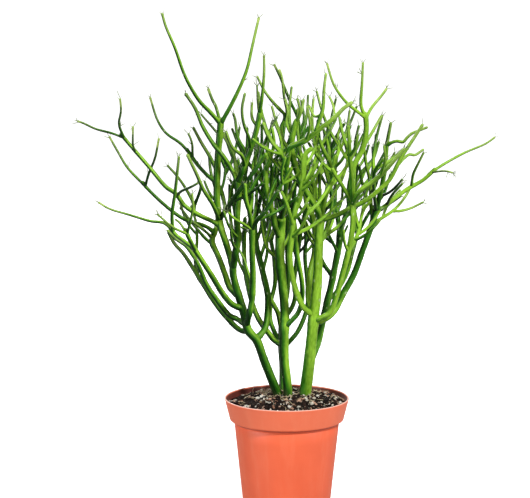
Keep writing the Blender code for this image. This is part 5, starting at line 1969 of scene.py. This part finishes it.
def arc(centre: Point, radius: float, start: float, end: float, steps: int) -> list[Point]:
    """Returns the points of a round corner in a profile.

    Args:
        centre: the corner's centre, as radius and height.
        radius: the corner's own radius.
        start: the angle where it starts, in degrees from straight outwards.
        end: the angle where it ends.
        steps: how many steps it takes.

    Returns:
        The points in order.
    """
    angles = [math.radians(start + (end - start) * k / steps) for k in range(steps + 1)]
    return [(centre[0] + radius * math.cos(a), centre[1] + radius * math.sin(a)) for a in angles]


@dataclass
class Pot:
    """The nursery pot: a tapered body, a tall rim band with rounded edges, and drain holes."""

    height: float = 114 * MM
    rim_radius: float = 63 * MM
    band_foot_radius: float = 57.4 * MM
    band_height: float = 22.5 * MM
    step_height: float = 3.5 * MM
    body_top_radius: float = 53 * MM
    base_radius: float = 43.8 * MM
    wall: float = 1.6 * MM
    floor: float = 2.2 * MM
    foot_round: float = 1.6 * MM
    lip_round: float = 0.75 * MM
    band_round: float = 2.0 * MM
    band_lean: float = 8.0
    band_turn: float = 72.0
    band_shares: tuple[float, ...] = (0.12, 0.13, 0.3, 0.5, 0.7, 0.82)
    step_outline: tuple[Point, ...] = ((1.2, 1.9), (0.35, 1.1), (-0.35, 0.6), (-0.35, 0.0), (-0.1, -0.5))
    body_shares: tuple[float, ...] = (0.15, 0.35, 0.6, 0.85)
    floor_round: float = 1.5 * MM
    sharp_angle: float = math.radians(38)
    turn_steps: int = 144
    drain_count: int = 6
    drain_radius: float = 4.5 * MM
    drain_circle: float = 29 * MM
    drain_sides: int = 28

    @property
    def band_foot(self) -> float:
        """The height of the rim band's foot."""
        return self.height - self.band_height

    @property
    def band_slope(self) -> float:
        """How much the rim band narrows for each metre down."""
        return (self.rim_radius - self.band_foot_radius) / self.band_height

    def profile(self) -> list[Point]:
        """Returns the pot's outline from the middle of its floor, up its inside, over the lip and down."""
        step_foot = self.band_foot - self.step_height
        lip_height = self.height - self.lip_round
        lip = arc((self.rim_radius - self.wall + self.lip_round, lip_height), self.lip_round, 180, 90, 4)
        lip += arc((self.rim_radius - self.lip_round, lip_height), self.lip_round, 90, -self.band_lean, 5)
        outer = [
            (self.rim_radius - self.band_slope * share * self.band_height,
             self.height - share * self.band_height)
            for share in self.band_shares
        ]
        corner_radius = self.band_foot_radius + self.band_slope * self.band_round - self.band_round
        corner = (corner_radius, self.band_foot + self.band_round)
        outer += arc(corner, self.band_round, -self.band_lean, -self.band_turn, 7)
        outer += [
            (self.body_top_radius + across * MM, step_foot + up * MM) for across, up in self.step_outline
        ]
        taper = self.base_radius - self.body_top_radius
        outer += [
            (self.body_top_radius + taper * share, step_foot * (1.0 - share)) for share in self.body_shares
        ]
        outer += arc((self.base_radius - self.foot_round, self.foot_round), self.foot_round, -5, -90, 5)
        inner = [
            (0.0, self.floor),
            (self.base_radius - self.wall - self.floor_round, self.floor),
            (self.base_radius - self.wall, self.floor + self.floor_round),
            (self.body_top_radius - self.wall, step_foot),
            (self.band_foot_radius - self.wall, self.band_foot),
        ]
        return [*inner, *lip, *outer, (0.0, 0.0)]

    def build(self) -> list[bpy.types.Object]:
        """Builds the pot, drills its drain holes and gives it its plastic.

        Returns:
            The one piece.
        """
        pot = turned("nursery_pot", self.profile(), self.turn_steps)
        cutters = bpy.data.collections.new("drain_cutters")
        for number in range(self.drain_count):
            turn = math.tau * (number + 0.5) / self.drain_count
            shape = bmesh.new()
            centre = (self.drain_circle * math.cos(turn), self.drain_circle * math.sin(turn), 0.0)
            bmesh.ops.create_cone(
                shape, cap_ends=True, segments=self.drain_sides, radius1=self.drain_radius,
                radius2=self.drain_radius, depth=4 * self.floor, matrix=Matrix.Translation(centre),
            )
            mesh = bpy.data.meshes.new("drain")
            shape.to_mesh(mesh)
            shape.free()
            cutters.objects.link(bpy.data.objects.new("drain", mesh))
        holes = pot.modifiers.new("Drains", "BOOLEAN")
        holes.operation = "DIFFERENCE"
        holes.operand_type = "COLLECTION"
        holes.collection = cutters
        mesh = bpy.data.meshes.new_from_object(pot.evaluated_get(bpy.context.evaluated_depsgraph_get()))
        pot.modifiers.clear()
        pot.data = mesh
        for cutter in list(cutters.objects):
            bpy.data.objects.remove(cutter)
        bpy.data.collections.remove(cutters)
        mesh.materials.clear()
        mesh.materials.append(POT_PLASTIC.material())
        mesh.set_sharp_from_angle(angle=self.sharp_angle)
        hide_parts("pot")
        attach(pot, "root")
        return [pot]


@dataclass
class Soil:
    """The mounded potting mix: damp peat, and the loose crumbs, grains, chips and fibres on it."""

    pot: Pot
    edge_below_rim: float = 6.5 * MM
    mound_height: float = 8 * MM
    mound_centre: Point = (6 * MM, 4 * MM)
    mound_radius: float = 62 * MM
    clod_height: float = 1.6 * MM
    clod_waves: tuple[Place, ...] = (
        (0.21, 0.13, 0.4), (-0.17, 0.28, 1.9), (0.34, -0.25, 3.1), (0.09, 0.41, 5.0))
    wall_blend: float = 0.12
    gap: float = 0.4 * MM
    floor_gap: float = 0.3 * MM
    rings: int = 46
    sectors: int = 144
    top_margin: float = 0.1 * MM
    relief: float = 1.5 * MM
    relief_scale: float = 150.0
    relief_layers: tuple[float, float, int] = (0.9, 2.1, 4)
    relief_at_wall: float = 0.3
    surface_cells: int = 90
    surface_margin: float = 0.6 * MM
    fibre_reach: float = 17 * MM

    @property
    def edge_height(self) -> float:
        """The height of the soil where it meets the pot's wall."""
        return self.pot.height - self.edge_below_rim

    @property
    def top_radius(self) -> float:
        """The radius of the soil's surface."""
        return self.pot.rim_radius - self.pot.wall - self.gap - self.edge_below_rim * self.pot.band_slope

    def rise(self, x: float, y: float) -> float:
        """Returns how far the soil's surface rises over its edge at a place.

        Args:
            x: the place's distance to the right of the pot's axis.
            y: its distance behind the axis.

        Returns:
            The rise in metres.
        """
        from_mound = math.hypot(x - self.mound_centre[0], y - self.mound_centre[1]) / self.mound_radius
        mound = self.mound_height * max(0.0, 1.0 - from_mound**2)
        clods = sum(math.sin((fx * x + fy * y) / MM + phase) for fx, fy, phase in self.clod_waves)
        fine = noise.fractal(Vector((x, y, 0.0)) * self.relief_scale, *self.relief_layers)
        from_wall = 1.0 - math.hypot(x, y) / self.top_radius
        share = min(1.0, from_wall / self.wall_blend)
        roughness = self.relief_at_wall + (1.0 - self.relief_at_wall) * share
        form = mound + self.clod_height * clods / len(self.clod_waves)
        return share * form + roughness * self.relief * fine

    def profile(self) -> list[Point]:
        """Returns the soil's outline from the middle of its surface, down its side and under it."""
        inset = self.pot.wall + self.gap
        bottom = self.pot.floor + self.floor_gap
        top = [(self.top_radius * k / self.rings, self.edge_height) for k in range(self.rings + 1)]
        return [
            *top,
            (self.pot.band_foot_radius - inset, self.pot.band_foot),
            (self.pot.body_top_radius - inset, self.pot.band_foot - self.pot.step_height),
            (self.pot.base_radius - inset, bottom),
            (0.0, bottom),
        ]

    def build(self, trunks: Sequence[Point]) -> list[bpy.types.Object]:
        """Builds the soil and scatters what lies on it.

        Args:
            trunks: where the stems leave the soil.

        Returns:
            The pieces.
        """
        body = turned("potting_soil", self.profile(), self.sectors)
        for vertex in body.data.vertices:
            if vertex.co.z > self.edge_height - self.top_margin:
                vertex.co.z += self.rise(vertex.co.x, vertex.co.y)
        body.data.materials.append(PEAT.material())
        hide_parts("soil")
        pieces = [body, *self.scatter(self.surface(trunks))]
        for piece in pieces:
            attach(piece, "root")
        return pieces

    def surface(self, trunks: Sequence[Point]) -> bpy.types.Mesh:
        """Returns the soil's open surface, which says at each point how near the stems and the wall are.

        Args:
            trunks: where the stems leave the soil.

        Returns:
            The surface as a mesh.
        """
        mesh = bpy.data.meshes.new("soil_surface")
        shape = bmesh.new()
        cells = self.surface_cells
        bmesh.ops.create_grid(shape, x_segments=cells, y_segments=cells, size=self.top_radius)
        edge = self.top_radius - self.surface_margin
        outside = [vertex for vertex in shape.verts if vertex.co.to_2d().length > edge]
        bmesh.ops.delete(shape, geom=outside, context="VERTS")
        near = []
        for vertex in shape.verts:
            vertex.co.z = self.edge_height + self.rise(vertex.co.x, vertex.co.y)
            nearest = min(math.dist(vertex.co.to_2d(), trunk) for trunk in trunks)
            near.append(math.exp(-((nearest / self.fibre_reach) ** 2)))
        shape.to_mesh(mesh)
        shape.free()
        layer = mesh.attributes.new("near_stem", "FLOAT", "POINT")
        layer.data.foreach_set("value", near)
        return mesh

    def scatter(self, surface: bpy.types.Mesh) -> list[bpy.types.Object]:
        """Scatters crumbs, grit, perlite, bark chips and fibres over the soil's surface."""
        grains = grain_tree()
        pieces = [grown(layer.name, surface.copy(), grains, layer.values()) for layer in GRAIN_LAYERS]
        return [*pieces, grown("fibres", surface.copy(), fibre_tree(), FIBRES.values())]


@dataclass(frozen=True)
class GrainLayer:
    """One scatter of loose grains: how many, how large and how flat they are."""

    name: str
    kind: GrainKind
    density: float
    seed: int
    smallest: float
    largest: float
    flatness: float = 0.75
    stretch: float = 1.2
    detail: int = 2
    lift: float = 0.15

    def values(self) -> dict[str, object]:
        """Returns the values of the geometry tree's named inputs."""
        return {
            "Density": self.density,
            "Seed": self.seed,
            "Smallest": self.smallest,
            "Largest": self.largest,
            "Flatness": self.flatness,
            "Stretch": self.stretch,
            "Detail": self.detail,
            "Lift": self.lift,
            "Finish": self.kind.value.material(),
        }


GRAIN_LAYERS = (
    GrainLayer("fine_crumbs", GrainKind.CRUMB, 420000.0, 3, 0.35 * MM, 0.9 * MM, detail=1),
    GrainLayer("coarse_crumbs", GrainKind.CRUMB, 46000.0, 5, 1.0 * MM, 2.8 * MM, 0.7, 1.3),
    GrainLayer("grit_grains", GrainKind.GRIT, 30000.0, 8, 0.35 * MM, 0.95 * MM, detail=1),
    GrainLayer("perlite_grains", GrainKind.PERLITE, 29000.0, 13, 0.6 * MM, 2.3 * MM, 0.8, 1.15),
    GrainLayer("bark_chips", GrainKind.CHIP, 30000.0, 21, 0.8 * MM, 2.4 * MM, 0.4, 1.9),
)


@dataclass(frozen=True)
class GrainShape:
    """The form of the loose grains, and how they gather in patches."""

    patch_scale: float = 85.0
    patch_range: tuple[float, float, float, float] = (0.36, 0.6, 0.15, 1.1)
    kinds: int = 4
    kind_shift: Point = (7.0, 3.0)
    lump_scale: float = 1.1
    lump_depth: float = 1.7
    small_bias: float = 2.2
    variation: Point = (0.7, 1.15)
    tilt: float = 0.5


@dataclass(frozen=True)
class Fibres:
    """The straw fibres: how many, how long and bent they are, and where they gather."""

    density: float = 85000.0
    seed: int = 31
    thickness: float = 0.26 * MM
    sides: int = 4
    steps: int = 7
    bends: tuple[Point, ...] = ((0.4, 0.05), (-0.25, 0.2), (0.12, -0.08))
    length: Point = (3.5 * MM, 13 * MM)
    tilt: float = 0.3
    near_stems: float = 0.94
    everywhere: float = 0.06

    def values(self) -> dict[str, object]:
        """Returns the values of the geometry tree's named inputs."""
        return {
            "Density": self.density,
            "Seed": self.seed,
            "Thickness": self.thickness,
            "Finish": GrainKind.FIBRE.value.material(),
        }


GRAIN_SHAPE = GrainShape()
FIBRES = Fibres()


def scattered_points(graph: Graph, given: bpy.types.Node, factor: object) -> bpy.types.Node:
    """Adds the node that scatters points over the surface at a density.

    Args:
        graph: the tree being wired.
        given: its input node, which has the inputs Density and Seed.
        factor: the share of the density at each place.

    Returns:
        The node, with the outputs Points, Normal and Rotation.
    """
    density = graph.math("MULTIPLY", given.outputs["Density"], factor)
    feeds = {"Mesh": given.outputs["Geometry"], "Density": density, "Seed": given.outputs["Seed"]}
    return graph.add("GeometryNodeDistributePointsOnFaces", feeds)


def random_turn(graph: Graph, spots: bpy.types.Node, tilt: float, seed: object, step: float
                ) -> bpy.types.NodeSocket:
    """Returns each point's rotation tilted a little and turned any way round, by chance.

    Args:
        graph: the tree being wired.
        spots: the node that scattered the points.
        tilt: how far they tilt at most, in radians.
        seed: the seed that fixes the values.
        step: what is added to it.

    Returns:
        The output socket.
    """
    low, high = (-tilt, -tilt, 0.0), (tilt, tilt, math.tau)
    return spun(graph, spots.outputs["Rotation"], random_value(graph, "FLOAT_VECTOR", low, high, seed, step))


def grain_tree() -> bpy.types.NodeTree:
    """Returns the tree that scatters rough grains of random size, turn and shade."""
    inputs = {
        "Density": "Float",
        "Seed": "Int",
        "Smallest": "Float",
        "Largest": "Float",
        "Flatness": "Float",
        "Stretch": "Float",
        "Detail": "Int",
        "Lift": "Float",
        "Finish": "Material",
    }
    graph, given, result = geometry_tree("loose_grains", inputs)
    patches = graph.noise(position(graph), GRAIN_SHAPE.patch_scale, 2.0)
    spots = scattered_points(graph, given, graph.between(patches, *GRAIN_SHAPE.patch_range))
    kinds = kinds_of(graph, [
        lumpy_ball(graph, given.outputs["Detail"], number) for number in range(GRAIN_SHAPE.kinds)
    ])
    seed = given.outputs["Seed"]
    size = graph.math("POWER", random_value(graph, "FLOAT", 0.0, 1.0, seed, 1.0), GRAIN_SHAPE.small_bias)
    reach = graph.math("SUBTRACT", given.outputs["Largest"], given.outputs["Smallest"])
    size = graph.math("ADD", given.outputs["Smallest"], graph.math("MULTIPLY", size, reach))
    longer, flatter, lift = (
        graph.math("MULTIPLY", size, given.outputs[label]) for label in ("Stretch", "Flatness", "Lift")
    )
    least, most = GRAIN_SHAPE.variation
    vary = random_value(graph, "FLOAT_VECTOR", (least,) * 3, (most,) * 3, seed, 2.0)
    scale = graph.vector_math("MULTIPLY", graph.combine(X=longer, Y=size, Z=flatter), vary)
    turn = random_turn(graph, spots, GRAIN_SHAPE.tilt, seed, 3.0)
    shaded = store(graph, spots.outputs["Points"], "shade", random_value(graph, "FLOAT", 0.0, 1.0, seed, 4.0))
    feeds = {"Geometry": shaded, "Offset": graph.combine(Z=lift)}
    raised = graph.add("GeometryNodeSetPosition", feeds).outputs[0]
    grains = copies(graph, raised, kinds, turn, scale, pick=True)
    return finish_tree(graph, given, result, grains, smooth=False)


def lumpy_ball(graph: Graph, detail: object, number: int) -> bpy.types.NodeSocket:
    """Returns one of the lumpy balls that the grains are made from.

    Args:
        graph: the tree being wired.
        detail: how finely the ball is divided.
        number: which of the kinds it is.

    Returns:
        The output socket.
    """
    feeds = {"Radius": 1.0, "Subdivisions": detail}
    ball = graph.add("GeometryNodeMeshIcoSphere", feeds).outputs[0]
    sideways, back = GRAIN_SHAPE.kind_shift
    place = graph.vector_math("ADD", position(graph), (sideways * number, back, 0.0))
    feeds = {"Vector": place, "Scale": GRAIN_SHAPE.lump_scale, "Detail": 2.0}
    rough = graph.add("ShaderNodeTexNoise", feeds).outputs["Color"]
    even = graph.vector_math("SUBTRACT", rough, (0.5, 0.5, 0.5))
    push = graph.vector_math("MULTIPLY", even, (GRAIN_SHAPE.lump_depth,) * 3)
    return graph.add("GeometryNodeSetPosition", {"Geometry": ball, "Offset": push}).outputs[0]


def fibre_tree() -> bpy.types.NodeTree:
    """Returns the tree that lays bent straw fibres on the soil, most of them round the stems."""
    inputs = {
        "Density": "Float",
        "Seed": "Int",
        "Thickness": "Float",
        "Finish": "Material",
    }
    graph, given, result = geometry_tree("straw_fibres", inputs)
    near = graph.math("MULTIPLY", named(graph, "near_stem"), FIBRES.near_stems)
    spots = scattered_points(graph, given, graph.math("ADD", near, FIBRES.everywhere))
    kinds = kinds_of(graph, [
        bent_line(graph, FIBRES.steps, (-0.5, 0.0, 0.02), (0.1, sideways, 0.12), (0.5, 0.0, upward))
        for sideways, upward in FIBRES.bends
    ])
    seed = given.outputs["Seed"]
    turn = random_turn(graph, spots, FIBRES.tilt, seed, 1.0)
    length = random_value(graph, "FLOAT", *FIBRES.length, seed, 2.0)
    points = store(graph, spots.outputs["Points"], "shade", random_value(graph, "FLOAT", 0.0, 1.0, seed, 3.0))
    strands = copies(graph, points, kinds, turn, graph.combine(X=length, Y=length, Z=length), pick=True)
    strands = graph.add("GeometryNodeRealizeInstances", {"Geometry": strands}).outputs[0]
    fibres = swept(graph, strands, circle(graph, FIBRES.sides, given.outputs["Thickness"]))
    return finish_tree(graph, given, result, fibres)


@dataclass
class Studio:
    """The white sweep of paper, the soft lights and the camera."""

    sweep_width: float = 9.0
    sweep_front: float = 4.5
    sweep_back: float = 3.5
    sweep_height: float = 4.5
    sweep_round: float = 1.2
    sweep_bend: Point = (0.1, math.pi / 2)
    sweep_steps: int = 12
    sky_strength: float = 0.1
    lights: tuple[tuple[str, Place, float, float], ...] = (
        ("key", (1.0, -1.8, 1.9), 0.35, 64.0),
        ("left_fill", (-1.9, -1.0, 0.5), 0.9, 26.0),
        ("right_fill", (1.8, -1.0, 0.5), 0.8, 10.0),
        ("top", (0.2, 0.3, 2.2), 0.6, 9.0),
        ("back_fill", (-0.7, 1.9, 1.2), 1.6, 34.0),
    )
    aim: Place = (0.0, 0.0, 0.27)

    def build(self) -> None:
        """Builds the sweep, the lights and the camera."""
        self.sweep()
        world = bpy.data.worlds.new("white_studio")
        world.use_nodes = True
        sky = world.node_tree.nodes["Background"]
        sky.inputs["Strength"].default_value = self.sky_strength
        sky.inputs["Color"].default_value = (1.0, 1.0, 1.0, 1.0)
        bpy.context.scene.world = world
        for name, place, size, power in self.lights:
            lamp = bpy.data.lights.new(name, "AREA")
            lamp.size = size
            lamp.energy = power
            light = placed(name, lamp)
            light.location = place
            light.rotation_euler = (Vector(self.aim) - Vector(place)).to_track_quat("-Z", "Y").to_euler()
        self.camera()
        bpy.context.scene.view_settings.view_transform = "Standard"

    def sweep(self) -> bpy.types.Object:
        """Returns the paper floor that curves up behind into a backdrop."""
        bend = self.sweep_back - self.sweep_round
        side = [(-self.sweep_front, 0.0), (bend, 0.0)]
        side += [
            (bend + self.sweep_round * math.sin(a), self.sweep_round * (1.0 - math.cos(a)))
            for a in np.linspace(*self.sweep_bend, self.sweep_steps)
        ]
        side.append((self.sweep_back, self.sweep_height))
        shape = bmesh.new()
        rows = [[shape.verts.new((x * self.sweep_width, y, z)) for x in (-0.5, 0.5)] for y, z in side]
        for (a, b), (c, d) in zip(rows, rows[1:]):
            shape.faces.new((a, b, d, c))
        mesh = bpy.data.meshes.new("paper_sweep")
        shape.to_mesh(mesh)
        shape.free()
        mesh.shade_smooth()
        mesh.materials.append(PAPER.material())
        return placed("paper_sweep", mesh)

    def camera(self) -> None:
        """Places the camera where the photograph is taken from."""
        lens = bpy.data.cameras.new("camera")
        lens.lens = VIEW.lens
        lens.sensor_width = VIEW.sensor
        camera = placed("camera", lens)
        camera.location = VIEW.eye
        camera.rotation_euler = (math.pi / 2 - VIEW.tilt, 0.0, 0.0)
        bpy.context.scene.camera = camera


def main() -> None:
    """Builds the pot, the soil, the stems and the studio, and logs each piece's triangles and finish."""
    logging.basicConfig(level=logging.INFO, format="%(message)s")
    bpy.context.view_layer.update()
    pot = Pot()
    trunks = [(drawn.route[0][0] * MM, base_away * MM) for drawn, base_away in STEMS.values()]
    pieces = [*pot.build(), *Soil(pot).build(trunks), *StemClump().build()]
    Studio().build()
    for piece in pieces:
        piece.data.calc_loop_triangles()
        triangles = len(piece.data.loop_triangles)
        LOG.info("%s: %d triangles, %s", piece.name, triangles, piece.data.materials[0].name)


if __name__ == "__main__":
    main()
